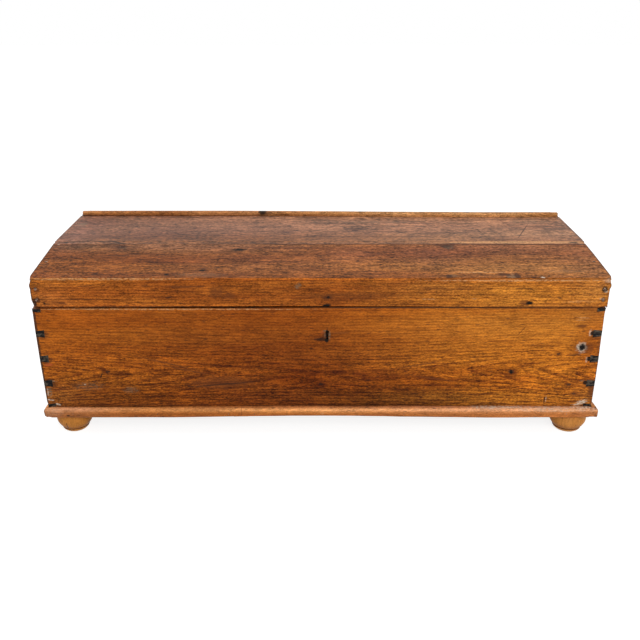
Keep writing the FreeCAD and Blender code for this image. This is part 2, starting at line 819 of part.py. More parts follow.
def keeper_nails():
    """Two nails up through the keeper plate."""
    inset = keeper_length / 2 - keeper_width / 2
    nails = []
    for side in (-1, 1):
        point = Vector(lock_x + side * inset, bolt_mid_y, lid_z)
        nails.append(nail(point, Vector(0, 0, 1), strap_nail_length,
                          head=keeper_nail_head_width, sink=nail_head_height))
    return nails


def lock_nails():
    """Nails through the corners of the lock's back plate."""
    x_inset = (lock_plate_width + lock_body_width) / 4
    low = carcass_top_z - lock_plate_height + lock_nail_bottom_margin
    high = carcass_top_z - selvedge_thickness - lock_nail_top_margin
    nails = []
    for side in (-1, 1):
        for z in (low, high):
            point = Vector(lock_x + side * x_inset, inside_front_y, z)
            nails.append(nail(point, Vector(0, -1, 0), lock_nail_length, sink=0.0))
    return nails


# The pieces

hinge_xs = {"left": -(half_length - hinge_inset), "right": half_length - hinge_inset}
foot_sides = [(-1, -1), (1, -1), (-1, 1), (1, 1)]
board_names = ["bottom_board_front", "bottom_board_middle", "bottom_board_back"]

base_nails = bottom_nails()
trim_nails = moulding_nails()
plate_nails = lock_nails()
staple_nails = keeper_nails()
lid_top_nails = top_nails()
lid_rail_nails = rail_nails()
strip_nails = bead_nails()
chest_strap_nails = [n for x in hinge_xs.values() for n in strap_nails(x, False)]
lid_strap_nails = [n for x in hinge_xs.values() for n in strap_nails(x, True)]

front_cuts = [lock_mortise(), keyhole(front_y, inside_front_y)] + base_nails + plate_nails
save("front_board", cut_by(tail_board(front_y, inside_front_y), front_cuts + trim_nails))
back_cuts = [leaf_recess(x, False) for x in hinge_xs.values()] + base_nails + chest_strap_nails
save("back_board", cut_by(tail_board(inside_back_y, back_y), back_cuts))
save("left_end_board", cut_by(pin_board(-1), base_nails + trim_nails))
save("right_end_board", cut_by(pin_board(1), base_nails + trim_nails))
spigot_holes = [spigot_hole(*sides) for sides in foot_sides]
for number, board_name in enumerate(board_names):
    save(board_name, cut_by(bottom_board(number), spigot_holes + base_nails + trim_nails))
save("bottom_nails", base_nails)

save("base_moulding_front_left", cut_by(front_moulding(-half_length, moulding_joint_x), trim_nails))
save("base_moulding_front_right", cut_by(front_moulding(moulding_joint_x, half_length), trim_nails))
save("base_moulding_left", cut_by(end_moulding(-1), trim_nails))
save("base_moulding_right", cut_by(end_moulding(1), trim_nails))
save("base_moulding_nails", trim_nails)

save("front_feet", [bun_foot(side, -1) for side in (-1, 1)])
save("back_feet", [bun_foot(side, 1) for side in (-1, 1)])

lock_case_solid = cut_by(lock_case(), plate_nails)
save("lock_case", lock_case_solid)
save("lock_cap", lock_cap())
save("lock_key_pin", lock_key_pin())
save("lock_spring", lock_spring())
save("lock_nails", plate_nails)
save("lock_bolt", lock_bolt())

for place, hinge_x in hinge_xs.items():
    save("hinge_lower_strap_" + place, cut_by(hinge_strap(hinge_x, False), chest_strap_nails))
    save("hinge_upper_strap_" + place, cut_by(hinge_strap(hinge_x, True), lid_strap_nails))
save("hinge_pins", [hinge_pin(hinge_x) for hinge_x in hinge_xs.values()])
save("hinge_nails_chest", chest_strap_nails)
save("hinge_nails_lid", lid_strap_nails)

top_front, top_rear = top_boards()
frame_cuts = lid_top_nails + lid_rail_nails + strip_nails
save("lid_top_front_board", cut_by(top_front, frame_cuts))
save("lid_top_rear_board", cut_by(top_rear, frame_cuts))
save("lid_front_rail", cut_by(lid_front_rail(), frame_cuts + staple_nails + [keeper_recess()]))
upper_recesses = [leaf_recess(x, True) for x in hinge_xs.values()]
save("lid_back_rail", cut_by(lid_back_rail(), frame_cuts + lid_strap_nails + upper_recesses))
save("lid_left_end", cut_by(lid_end(-1), frame_cuts))
save("lid_right_end", cut_by(lid_end(1), frame_cuts))
save("lid_back_bead", cut_by(lid_back_bead(), strip_nails))
save("lid_top_nails", lid_top_nails)
save("lid_rail_nails", lid_rail_nails)
save("lid_bead_nails", strip_nails)
save("lock_keeper", cut_by(lock_keeper(), staple_nails))
save("lock_keeper_nails", staple_nails)

print("hinge axis", hinge_axis_y, hinge_axis_z, "front face", front_y, "lid top", rear_z + bead_height)
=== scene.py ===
# %% [markdown]
# # A pine blanket chest
# The chest is a long dovetailed box on four bun feet, with a lid cranked from two boards. Nearly
# all of its character is in its wood: a hundred years of wax over yellow pine, dark growth rings,
# knots, knocks and worn arrises. So this lesson spends its time on one solid pine that every
# board shares, and on giving each board its own place in the log.

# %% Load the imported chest
import bpy
import bmesh
import math
import numpy
from mathutils import Matrix, Vector, noise


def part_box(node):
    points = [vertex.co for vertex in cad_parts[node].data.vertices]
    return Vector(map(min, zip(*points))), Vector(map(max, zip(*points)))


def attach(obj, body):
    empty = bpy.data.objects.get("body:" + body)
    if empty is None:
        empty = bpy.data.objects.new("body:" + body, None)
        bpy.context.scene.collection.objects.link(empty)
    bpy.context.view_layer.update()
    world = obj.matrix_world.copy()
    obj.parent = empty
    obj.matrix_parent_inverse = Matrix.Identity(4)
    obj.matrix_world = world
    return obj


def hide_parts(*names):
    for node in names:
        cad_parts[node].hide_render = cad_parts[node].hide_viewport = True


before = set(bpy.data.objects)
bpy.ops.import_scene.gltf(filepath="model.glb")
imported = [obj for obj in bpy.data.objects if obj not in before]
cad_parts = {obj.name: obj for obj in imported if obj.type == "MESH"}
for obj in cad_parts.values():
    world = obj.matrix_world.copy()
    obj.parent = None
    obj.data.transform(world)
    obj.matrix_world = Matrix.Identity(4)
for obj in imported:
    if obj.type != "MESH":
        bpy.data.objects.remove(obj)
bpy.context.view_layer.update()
scene = bpy.context.scene
scene.view_settings.view_transform = "Standard"

# %% [markdown]
# ## The camera
# It stands a little above the lid, straight in front of the chest and slightly left of its
# middle, so that the front shows flat and both facets of the lid show above it. A lens a bit
# longer than normal keeps the two ends nearly upright. The small sideways shift frames the chest
# as it should lie.

# %% Set the camera
LOOK_DOWN = math.radians(22.02)
SIDE_SHIFT = 9.3 / 640
camera_data = bpy.data.cameras.new("camera")
camera = bpy.data.objects.new("camera", camera_data)
scene.collection.objects.link(camera)
camera.location = (-0.022, -1.772, 0.9307)
camera.rotation_euler = (math.pi / 2 - LOOK_DOWN, 0, 0)
camera_data.sensor_width = 36.0
camera_data.lens = 41.62
camera_data.shift_x = SIDE_SHIFT
scene.camera = camera
print("camera", tuple(camera.location))

# %% [markdown]
# ## Light, floor and backdrop
# Old waxed pine needs a broad soft light: small lamps would print hard spots in the wax. One wide
# lamp over the camera lights the front, one over the lid lights the top, and a pale world fills
# the rest. The floor is a plain white sheet that keeps the soft shadow of the chest. It shows a
# little paler to the camera than it is, so that it runs into the white behind it.

# %% Place the lamps
def soft_lamp(name, place, target, size, power):
    """A square area lamp that looks at a target."""
    data = bpy.data.lights.new(name, "AREA")
    data.shape = "RECTANGLE"
    data.size, data.size_y = size
    data.energy = power
    lamp = bpy.data.objects.new(name, data)
    scene.collection.objects.link(lamp)
    lamp.location = place
    lamp.rotation_euler = (Vector(target) - Vector(place)).to_track_quat("-Z", "Y").to_euler()
    return lamp


front_lamp = soft_lamp("front_softbox", (0.9, -3.2, 2.2), (0, -0.2, 0.2), (2.6, 1.6), 62)
top_lamp = soft_lamp("top_softbox", (-0.4, 0.2, 3.0), (0, 0, 0.4), (3.0, 2.0), 44)
print("lamps", [lamp.name for lamp in (front_lamp, top_lamp)])

# %% Tell backdrop rays from light rays
def backdrop_share(tree):
    """1 for rays from the camera, from a reflection or through glass, and 0 for rays that light."""
    rays = tree.nodes.new("ShaderNodeLightPath")
    both = tree.nodes.new("ShaderNodeMath")
    both.operation = "MAXIMUM"
    every = tree.nodes.new("ShaderNodeMath")
    every.operation = "MAXIMUM"
    tree.links.new(rays.outputs["Is Camera Ray"], both.inputs[0])
    tree.links.new(rays.outputs["Is Glossy Ray"], both.inputs[1])
    tree.links.new(both.outputs[0], every.inputs[0])
    tree.links.new(rays.outputs["Is Transmission Ray"], every.inputs[1])
    return every.outputs[0]


print("backdrop test ready")

# %% Make the world white to the eye and a plain fill to the wood
world = bpy.data.worlds.new("white_room")
scene.world = world
world.use_nodes = True
sky = world.node_tree
sky.nodes.clear()
sky_out = sky.nodes.new("ShaderNodeOutputWorld")
sky_light = sky.nodes.new("ShaderNodeBackground")
sky_light.inputs["Color"].default_value = (1.0, 1.0, 1.0, 1)
strength = sky.nodes.new("ShaderNodeMapRange")
strength.inputs["To Min"].default_value = 0.5
strength.inputs["To Max"].default_value = 1.0
sky.links.new(backdrop_share(sky), strength.inputs["Value"])
sky.links.new(strength.outputs[0], sky_light.inputs["Strength"])
sky.links.new(sky_light.outputs[0], sky_out.inputs["Surface"])
print("world fill", strength.inputs["To Min"].default_value)

# %% Lay the floor
FLOOR_HALF = 30
floor_corners = [(FLOOR_HALF * x, FLOOR_HALF * y, 0)
                 for x, y in ((-1, -1), (1, -1), (1, 1), (-1, 1))]
floor_mesh = bpy.data.meshes.new("floor")
floor_mesh.from_pydata(floor_corners, [], [(0, 1, 2, 3)])
floor = bpy.data.objects.new("floor", floor_mesh)
scene.collection.objects.link(floor)
floor_paint = bpy.data.materials.new("floor_paper")
floor_paint.use_nodes = True
paper = floor_paint.node_tree
paper.nodes.clear()
paper_out = paper.nodes.new("ShaderNodeOutputMaterial")
paper_matt = paper.nodes.new("ShaderNodeBsdfDiffuse")
paper_matt.inputs["Color"].default_value = (0.8, 0.8, 0.8, 1)
paper_glow = paper.nodes.new("ShaderNodeEmission")
paper_glow.inputs["Strength"].default_value = 1.6
paper_mix = paper.nodes.new("ShaderNodeMixShader")
paper_share = paper.nodes.new("ShaderNodeMapRange")
paper_share.inputs["To Min"].default_value = 0.0
paper_share.inputs["To Max"].default_value = 0.52
paper.links.new(backdrop_share(paper), paper_share.inputs["Value"])
paper.links.new(paper_share.outputs[0], paper_mix.inputs[0])
paper.links.new(paper_matt.outputs[0], paper_mix.inputs[1])
paper.links.new(paper_glow.outputs[0], paper_mix.inputs[2])
paper.links.new(paper_mix.outputs[0], paper_out.inputs["Surface"])
floor_mesh.materials.append(floor_paint)
print("floor", floor.dimensions[:2])

# %% [markdown]
# ## A short way to write node trees
# Wood takes a lot of small sums: distances, ridges, blends. Written out node by node they hide
# what they do, so this little helper wires a node and hands back its output. Every sum below
# still becomes a plain shader node that can be opened and read in Blender.

# %% Helper for wiring nodes
class Web:
    """Adds nodes to one tree and wires what they are given."""

    def __init__(self, tree):
        self.tree = tree

    def feed(self, socket, value):
        if isinstance(value, bpy.types.NodeSocket):
            self.tree.links.new(value, socket)
        elif isinstance(value, tuple) and len(value) == 3 and socket.type == "RGBA":
            socket.default_value = value + (1.0,)
        else:
            socket.default_value = value

    def add(self, kind, feeds=(), **settings):
        node = self.tree.nodes.new(kind)
        for name, value in settings.items():
            setattr(node, name, value)
        for name, value in dict(feeds).items():
            self.feed(node.inputs[name], value)
        return node

    def sum(self, kind, a, b=0.0, c=0.0, clamp=False):
        node = self.add("ShaderNodeMath", {0: a, 1: b, 2: c}, operation=kind, use_clamp=clamp)
        return node.outputs[0]

    def vector(self, kind, a, b=(0, 0, 0)):
        node = self.add("ShaderNodeVectorMath", {0: a, 1: b}, operation=kind)
        return node.outputs["Value"] if kind in ("LENGTH", "DOT_PRODUCT") else node.outputs[0]

    def split(self, vector):
        return self.add("ShaderNodeSeparateXYZ", {0: vector}).outputs

    def noise(self, vector, scale=1.0, detail=2.0, rough=0.5, stretch=None, output=0):
        """Noise at a place. Stretch gives its waves in a metre, along, across and into a board."""
        if stretch:
            vector = self.vector("MULTIPLY", vector, stretch)
        feeds = {"Vector": vector, "Scale": scale, "Detail": detail, "Roughness": rough}
        return self.add("ShaderNodeTexNoise", feeds).outputs[output]

    def grade(self, value, low, high, to_low=0.0, to_high=1.0, smooth=False):
        feeds = {"Value": value, "From Min": low, "From Max": high, "To Min": to_low,
                 "To Max": to_high}
        kind = "SMOOTHSTEP" if smooth else "LINEAR"
        return self.add("ShaderNodeMapRange", feeds, interpolation_type=kind, clamp=True).outputs[0]

    def blend(self, share, a, b, kind="MIX"):
        node = self.add("ShaderNodeMix", data_type="RGBA", blend_type=kind, clamp_factor=True)
        self.feed(node.inputs[0], share)
        self.feed(node.inputs[6], a)
        self.feed(node.inputs[7], b)
        return node.outputs[2]


def new_group(name, inputs, outputs):
    """An empty shader node group: inputs are (name, kind, value), outputs are (name, kind)."""
    kinds = {"value": "NodeSocketFloat", "vector": "NodeSocketVector", "colour": "NodeSocketColor"}
    tree = bpy.data.node_groups.new(name, "ShaderNodeTree")
    for label, kind, value in inputs:
        socket = tree.interface.new_socket(label, in_out="INPUT", socket_type=kinds[kind])
        socket.default_value = value
    for label, kind in outputs:
        tree.interface.new_socket(label, in_out="OUTPUT", socket_type=kinds[kind])
    web = Web(tree)
    entry = tree.nodes.new("NodeGroupInput").outputs
    exit_node = tree.nodes.new("NodeGroupOutput")
    return web, entry, exit_node.inputs


def use_group(web, name, **feeds):
    """Places a group in a material and feeds its inputs by name."""
    node = web.add("ShaderNodeGroup", node_tree=bpy.data.node_groups[name])
    for label, value in feeds.items():
        web.feed(node.inputs[label.replace("_", " ")], value)
    return node.outputs


print("node helpers ready")

# %% Helpers for a material's first and last nodes
def new_material(name):
    """An empty material, and the web that wires it."""
    material = bpy.data.materials.new(name)
    material.use_nodes = True
    material.node_tree.nodes.clear()
    return material, Web(material.node_tree)


def coat(web, colour, rough, height, strength, depth, gloss, metallic=0.0):
    """Ends a material in one surface. Its relief is as strong and as deep (in metres) as given."""
    bump = web.add("ShaderNodeBump", {"Height": height, "Strength": strength, "Distance": depth})
    surface = web.add("ShaderNodeBsdfPrincipled",
                      {"Base Color": colour, "Roughness": rough, "Normal": bump.outputs[0],
                       "Specular IOR Level": gloss, "Metallic": metallic})
    web.add("ShaderNodeOutputMaterial", {"Surface": surface.outputs[0]})


print("material helpers ready")

# %% [markdown]
# ## The log that a board was sawn from
# Pine shows its growth rings as long lines and, where the saw ran near the heart, as pointed
# arches. Both come from one fact: rings are tubes round the pith. So the figure is the distance
# from a wandering pith line, cut into rings. A board near the pith gets arches and one far from
# it gets straight lines, with nothing drawn by hand. Streaks of resin and fine fibres go on top.

# %% Node group: growth rings of pine
web, given, made = new_group(
    "pine_figure",
    [("Vector", "vector", (0, 0, 0)), ("Pith", "vector", (0, 0.1, -0.05)),
     ("Seed", "vector", (0, 0, 0)), ("Taper", "value", 0.0), ("Bow", "value", 0.0),
     ("Wander", "value", 0.012), ("Ring Width", "value", 0.004), ("Knot Bend", "value", 0.0),
     ("Coarse", "value", 1.0)],
    [("Rings", "value"), ("Streaks", "value"), ("Fibre", "value"), ("Broad", "value")])
place = web.vector("ADD", given["Vector"], given["Seed"])
centre = (0.5, 0.5, 0.5)
slow = web.noise(place, stretch=(1.6, 7, 7), output=1)
quick = web.noise(place, rough=0.6, stretch=(9, 60, 60), output=1)
slow_parts = web.split(web.vector("SUBTRACT", slow, centre))
quick_parts = web.split(web.vector("SUBTRACT", quick, centre))
here = web.split(given["Vector"])
pith = web.split(given["Pith"])
ripple = web.sum("MULTIPLY", given["Wander"], 0.16)


def wandering(i, axis):
    """How far a place is from the pith on one axis, as the pith wanders."""
    straight = web.sum("SUBTRACT", here[axis], pith[axis])
    swayed = web.sum("MULTIPLY_ADD", slow_parts[i], given["Wander"], straight)
    return web.sum("MULTIPLY_ADD", quick_parts[i], ripple, swayed)


across = wandering(0, 1)
depth = web.sum("MULTIPLY_ADD", here[0], given["Taper"], wandering(1, 2))
bowed = web.sum("MULTIPLY", web.sum("MULTIPLY", here[0], here[0]), given["Bow"])
depth = web.sum("SUBTRACT", depth, bowed)
squares = web.sum("MULTIPLY", across, across), web.sum("MULTIPLY", depth, depth)
radius = web.sum("SQRT", web.sum("ADD", *squares))
radius = web.sum("ADD", radius, given["Knot Bend"])
turn = web.sum("FRACT", web.sum("DIVIDE", radius, given["Ring Width"]))
late = web.grade(turn, 0.4, 0.82, smooth=True)
late = web.sum("MULTIPLY", late, web.grade(turn, 0.93, 1.0, 1.0, 0.0))
fade = web.noise(place, detail=3.0, rough=0.65, stretch=(26, 70, 50))
web.feed(made["Rings"], web.sum("MULTIPLY", late, web.grade(fade, 0.36, 0.6, 0.15, 1.0)))
broad = web.noise(place, detail=4.0, rough=0.6, stretch=(2.2, 16, 9))
web.feed(made["Broad"], web.grade(broad, 0.38, 0.62))
print("rings", len(web.tree.nodes), "nodes")

# %% The same group: streaks and fibres
along_scale = web.sum("POWER", given["Coarse"], -0.6)
across_scale = web.sum("DIVIDE", 1.0, given["Coarse"])
coarsened = web.add("ShaderNodeCombineXYZ", {0: along_scale, 1: across_scale, 2: 1.0}).outputs[0]
lined = web.vector("MULTIPLY", place, coarsened)
long_noise = web.noise(lined, detail=4.0, rough=0.68, stretch=(9, 150, 90))
short_noise = web.noise(lined, detail=3.0, rough=0.65, stretch=(48, 240, 150))
cloud_noise = web.noise(lined, detail=4.0, rough=0.68, stretch=(26, 60, 40))
long_streaks = web.sum("MULTIPLY", web.grade(long_noise, 0.5, 0.62), 0.7)
streaks = web.sum("MAXIMUM", long_streaks, web.grade(short_noise, 0.55, 0.66))
clouds = web.sum("MULTIPLY", web.grade(cloud_noise, 0.5, 0.68), 0.55)
web.feed(made["Streaks"], web.sum("MAXIMUM", clouds, streaks))
fine = web.noise(lined, detail=4.0, rough=0.75, stretch=(60, 330, 300))
speck = web.noise(lined, detail=2.0, rough=0.6, stretch=(210, 420, 300))
mottle = web.noise(lined, detail=3.0, rough=0.6, stretch=(16, 44, 30))
fibre = web.sum("MULTIPLY_ADD", speck, 0.52, web.sum("MULTIPLY", fine, 0.62))
fibre = web.sum("MULTIPLY_ADD", mottle, 0.34, fibre)
web.feed(made["Fibre"], web.sum("SUBTRACT", fibre, 0.24))
print("pine_figure", len(web.tree.nodes), "nodes")

# %% [markdown]
# ## Knots
# A knot is a branch that the saw cut through. It does two things: it leaves a dark disc with a
# halo of resin, and it pushes the rings around it apart. The group gives both, the bend as a
# length that is added to the distance from the pith before the rings are cut.

# %% Node group: one knot
web, given, made = new_group(
    "branch_knot",
    [("Vector", "vector", (0, 0, 0)), ("Centre", "vector", (0, 0, 0)), ("Radius", "value", 0.006),
     ("Ragged", "value", 0.0)],
    [("Core", "value"), ("Halo", "value"), ("Bend", "value")])
offset = web.vector("SUBTRACT", given["Vector"], given["Centre"])
flat = web.vector("MULTIPLY", offset, (0.62, 1.0, 0.0))
away = web.sum("DIVIDE", web.vector("LENGTH", flat), given["Radius"])
away = web.sum("MULTIPLY_ADD", given["Ragged"], 0.9, away)
web.feed(made["Core"], web.grade(away, 0.75, 1.1, 1.0, 0.0, True))
web.feed(made["Halo"], web.grade(away, 0.9, 3.4, 1.0, 0.0, True))
long_offset = web.vector("MULTIPLY", offset, (0.3, 1.0, 0.0))
far = web.sum("DIVIDE", web.vector("LENGTH", long_offset), given["Radius"])
pushed = web.sum("EXPONENT", web.sum("MULTIPLY", web.sum("MULTIPLY", far, far), -0.22))
web.feed(made["Bend"], web.sum("MULTIPLY", pushed, web.sum("MULTIPLY", given["Radius"], 1.6)))
print("branch_knot", len(web.tree.nodes), "nodes")

# %% [markdown]
# ## Marks of use
# Stains, chips, scratches and old paint are not scattered by chance on a real chest: each has a
# place. One group draws a soft ragged ellipse, turned to any angle, and each board gets a short
# named list of them. A thin ellipse makes a scratch and a wide faint one makes a stain.

# %% Node group: one mark
web, given, made = new_group(
    "mark",
    [("Vector", "vector", (0, 0, 0)), ("Centre", "vector", (0, 0, 0)),
     ("Size", "vector", (0.01, 0.01, 1)), ("Turn", "value", 0.0), ("Ragged", "value", 0.0),
     ("Strength", "value", 1.0), ("Core", "value", 0.55)],
    [("Mask", "value")])
offset = web.vector("SUBTRACT", given["Vector"], given["Centre"])
turned = web.add("ShaderNodeVectorRotate", {"Vector": offset, "Angle": given["Turn"]},
                 rotation_type="Z_AXIS").outputs[0]
flat = web.vector("MULTIPLY", web.vector("DIVIDE", turned, given["Size"]), (1, 1, 0))
away = web.sum("ADD", web.vector("LENGTH", flat), given["Ragged"])
inside = web.grade(away, given["Core"], web.sum("SUBTRACT", 1.75, given["Core"]), 1.0, 0.0, True)
web.feed(made["Mask"], web.sum("MULTIPLY", inside, given["Strength"]))
print("mark", len(web.tree.nodes), "nodes")

# %% [markdown]
# ## Dark arrises
# Along the corners of each board the colour is darkened: grime, and painted shade where the
# rounded edges turn from the light and at the gap under the lid. Every board here is a plain block
# in its own measure, so the nearness of an arris can be worked out: it is the second smallest of
# the distances to the block's three pairs of faces. That works on every side and in every pose.

# %% Node group: nearness of an arris
web, given, made = new_group(
    "worn_arris",
    [("Vector", "vector", (0, 0, 0)), ("Low", "vector", (0, 0, 0)), ("High", "vector", (1, 1, 1)),
     ("Width", "value", 0.003), ("Ragged", "value", 0.0)],
    [("Mask", "value")])
from_low = web.vector("SUBTRACT", given["Vector"], given["Low"])
from_high = web.vector("SUBTRACT", given["High"], given["Vector"])
near = web.split(web.vector("MINIMUM", from_low, from_high))
least = web.sum("MINIMUM", near[0], near[1])
most = web.sum("MAXIMUM", near[0], near[1])
second = web.sum("MAXIMUM", least, web.sum("MINIMUM", most, near[2]))
reach = web.sum("MULTIPLY_ADD", given["Ragged"], given["Width"], given["Width"])
web.feed(made["Mask"], web.sum("SUBTRACT", 1.0, web.sum("DIVIDE", second, reach), clamp=True))
print("worn_arris", len(web.tree.nodes), "nodes")

# %% [markdown]
# ## Small knocks
# Between the marks that have a place there are hundreds that don't: nicks and short resin flecks
# that lie along the grain. A cell pattern stretched along the board gives them, with most cells
# left empty.

# %% Node group: nicks along the grain
web, given, made = new_group(
    "grain_nicks",
    [("Vector", "vector", (0, 0, 0)), ("Share", "value", 0.25), ("Size", "value", 0.3)],
    [("Mask", "value")])
spread = web.vector("MULTIPLY", given["Vector"], (45, 190, 60))
cells = web.add("ShaderNodeTexVoronoi", {"Vector": spread, "Scale": 1.0, "Randomness": 1.0})
chosen = web.sum("LESS_THAN", web.split(cells.outputs["Color"])[0], given["Share"])
fullness = web.sum("DIVIDE", cells.outputs["Distance"], given["Size"])
spot = web.grade(fullness, 0.5, 1.0, 1.0, 0.0, True)
web.feed(made["Mask"], web.sum("MULTIPLY", chosen, spot))
print("grain_nicks", len(web.tree.nodes), "nodes")

# %% [markdown]
# ## From figure to waxed pine
# Late wood is hard, dark and full of resin; early wood is soft and takes the wax. The colour is a
# blend of three browns by ring and streak, deepened where the fibres are coarse. The finish
# follows it: hard rings shine more and stand a hair proud where the soft wood has worn away.

# %% Node group: colour and relief of pine
web, given, made = new_group(
    "pine_finish",
    [("Rings", "value", 0.0), ("Streaks", "value", 0.0), ("Fibre", "value", 0.5),
     ("Broad", "value", 0.5), ("Light", "colour", (0.6, 0.3, 0.1, 1)),
     ("Middle", "colour", (0.4, 0.17, 0.04, 1)), ("Dark", "colour", (0.15, 0.05, 0.015, 1)),
     ("Ring Share", "value", 0.6), ("Streak Share", "value", 0.6), ("Contrast", "value", 1.0)],
    [("Colour", "colour"), ("Roughness", "value"), ("Relief", "value")])
body_tone = web.blend(given["Broad"], given["Middle"], given["Light"])
deep = web.sum("MULTIPLY", given["Streaks"], given["Streak Share"], clamp=True)
streaked = web.blend(deep, body_tone, given["Dark"])
banded = web.sum("MULTIPLY", given["Rings"], given["Ring Share"], clamp=True)
ringed = web.blend(banded, streaked, given["Dark"])
swing = web.sum("MULTIPLY", web.sum("SUBTRACT", given["Fibre"], 0.5), 3.4)
shade = web.sum("MAXIMUM", web.sum("MULTIPLY_ADD", swing, given["Contrast"], 1.0), 0.25)
shade_colour = web.add("ShaderNodeCombineXYZ", {0: shade, 1: shade, 2: shade}).outputs[0]
web.feed(made["Colour"], web.blend(1.0, ringed, shade_colour, "MULTIPLY"))
web.feed(made["Roughness"], web.grade(given["Rings"], 0.0, 1.0, 0.5, 0.38))
relief = web.sum("MULTIPLY_ADD", given["Rings"], 0.5, web.sum("MULTIPLY", given["Fibre"], 0.5))
web.feed(made["Relief"], relief)
print("pine_finish", len(web.tree.nodes), "nodes")

# %% [markdown]
# ## A board's own measure
# To put knots and marks on a board it helps to stand at its corner: first number along the grain,
# second across the width, third out of the show face. A Mapping node turns the object's
# coordinates into that measure, so the pattern stays put when the lid opens.

# %% Turn object coordinates into a board's measure
RIGHT, LEFT, FORWARD, BACKWARD, UP = (1, 0, 0), (-1, 0, 0), (0, -1, 0), (0, 1, 0), (0, 0, 1)


def board_measure(web, origin, along, across):
    """Coordinates and normal in a board's own measure."""
    along, across = Vector(along).normalized(), Vector(across).normalized()
    turn = Matrix((along, across, along.cross(across)))
    coordinates = web.add("ShaderNodeTexCoord")
    spin = turn.to_euler("XYZ")
    place = web.add("ShaderNodeMapping", {"Vector": coordinates.outputs["Object"]},
                    vector_type="POINT")
    place.inputs["Rotation"].default_value = spin
    place.inputs["Location"].default_value = -(turn @ Vector(origin))
    facing = web.add("ShaderNodeMapping", {"Vector": coordinates.outputs["Normal"]},
                     vector_type="VECTOR")
    facing.inputs["Rotation"].default_value = spin
    return place.outputs[0], facing.outputs[0]


print("board measure ready")

# %% [markdown]
# ## Tints and marks
# What happened to a board is of two kinds. A tint changes the brown that is there, as sun, smoke
# and hands do, so it multiplies the colour. A mark hides the brown, as a hole, old paint or bare
# wood does, so it is blended over it. Some tints and marks paint light and shade instead:
# highlights on arrises and on the moulding's nose, a sheen on the top, and shadow in the gap under
# the lid, under the bead and on the feet. Tints and marks are written down alike, in a table for
# each board.
# Under each kind stand its places: a name, the middle along and across the board, half the
# length, half the width, how strong it is, and how many degrees it is turned, where it is turned
# at all. Places and sizes are in millimetres, as they would be measured on the board, and MM
# turns them into metres.

# %% Colours of tints and marks
TINTS = {
    "sunned": (1.36, 1.62, 1.55),
    # Browned also paints shade, as on the lid's rounded arris and the bead's foot.
    "browned": (0.55, 0.47, 0.6),
    # The next tint is wear and a painted highlight, as on the moulding's nose.
    "rubbed_and_highlit": (1.6, 2.0, 2.9),
    "greened": (0.62, 0.78, 0.95),
    "reddened": (0.85, 0.68, 0.6),
    # Toasted also paints shade, on the moulding's toe.
    "toasted": (0.82, 0.7, 0.48),
    # The next tint is grey bloom and a painted sheen.
    "bloom_and_sheen": (1.15, 1.4, 1.75),
    # Honey also paints highlights along the lid's front arris.
    "honey": (1.5, 1.42, 1.3),
    # The next tint is a plain darkening, set place by place.
    "darkened": (0.7, 0.66, 0.72),
    "lifted": (1.32, 1.34, 1.34),
    "cooled": (0.97, 1.08, 1.6),
    "warmed": (1.02, 0.95, 0.68),
}
# Pale also paints highlights; brown, dark and hole also paint shadow in gaps and under parts.
MARK_TONES = {
    "grey": (0.16, 0.12, 0.075),
    "pale": (0.6, 0.31, 0.13),
    "bare": (0.68, 0.55, 0.42),
    "reddish": (0.4, 0.085, 0.02),
    "brown": (0.13, 0.038, 0.011),
    "dark": (0.05, 0.018, 0.009),
    "hole": (0.008, 0.006, 0.005),
}
CRUMBLING = ("grey", "bare", "pale")
HOLLOW = ("hole", "dark")
TINT_CORE, MARK_CORE = 0.0, 0.55
MM = 0.001
print(len(TINTS), "tints and", len(MARK_TONES), "marks")

# %% Lay tints and marks on a board
def greatest(web, masks):
    """The greatest of some masks at each point, or None where there are none."""
    total = None
    for mask in masks:
        total = mask if total is None else web.sum("MAXIMUM", total, mask)
    return total


def spots_mask(web, place, ragged, spots, core):
    """One mask for all the spots of one kind."""
    masks = []
    for _, x, y, half_x, half_y, strength, *turn in spots:
        angle = math.radians(-turn[0]) if turn else 0.0
        spot = use_group(web, "mark", Vector=place, Centre=(x * MM, y * MM, 0),
                         Size=(half_x * MM, half_y * MM, 1), Turn=angle, Ragged=ragged,
                         Strength=strength, Core=core)
        masks.append(spot["Mask"])
    return greatest(web, masks)


def lay_marks(web, place, ragged, colour, marks):
    """The colour with a board's tints and marks on it, and the masks of its hollow marks."""
    frayed = web.sum("MULTIPLY", ragged, 1.5)
    hollows = []
    for kind, tint in TINTS.items():
        if kind in marks:
            mask = spots_mask(web, place, frayed, marks[kind], TINT_CORE)
            colour = web.blend(1.0, colour, web.blend(mask, (1.0, 1.0, 1.0), tint), "MULTIPLY")
    for kind, tone in MARK_TONES.items():
        if kind in marks:
            mask = spots_mask(web, place, frayed, marks[kind], MARK_CORE)
            if kind in CRUMBLING:
                crumbs = web.noise(place, detail=3.0, rough=0.6, stretch=(160, 380, 200))
                mask = web.sum("MULTIPLY", mask, web.grade(crumbs, 0.36, 0.6))
            colour = web.blend(mask, colour, tone)
            if kind in HOLLOW:
                hollows.append(mask)
    return colour, hollows


def spots_in(table):
    """How many spots a table holds."""
    return sum(len(spots) for spots in table.values())


print("marks ready")

# %% [markdown]
# ## The pine of one board
# All boards use the same groups with their own values: where the pith ran, how wide the rings
# are, the three browns, its knots and its marks. Faces that were never waxed, inside the chest
# and under the lid, turn to dry grey-brown wood, and sawn ends turn dark because they drink in
# dirt.

# %% Browns and shares that every board has
def tones(light, middle, dark):
    """The three browns of a finish."""
    return {"light": light, "middle": middle, "dark": dark}


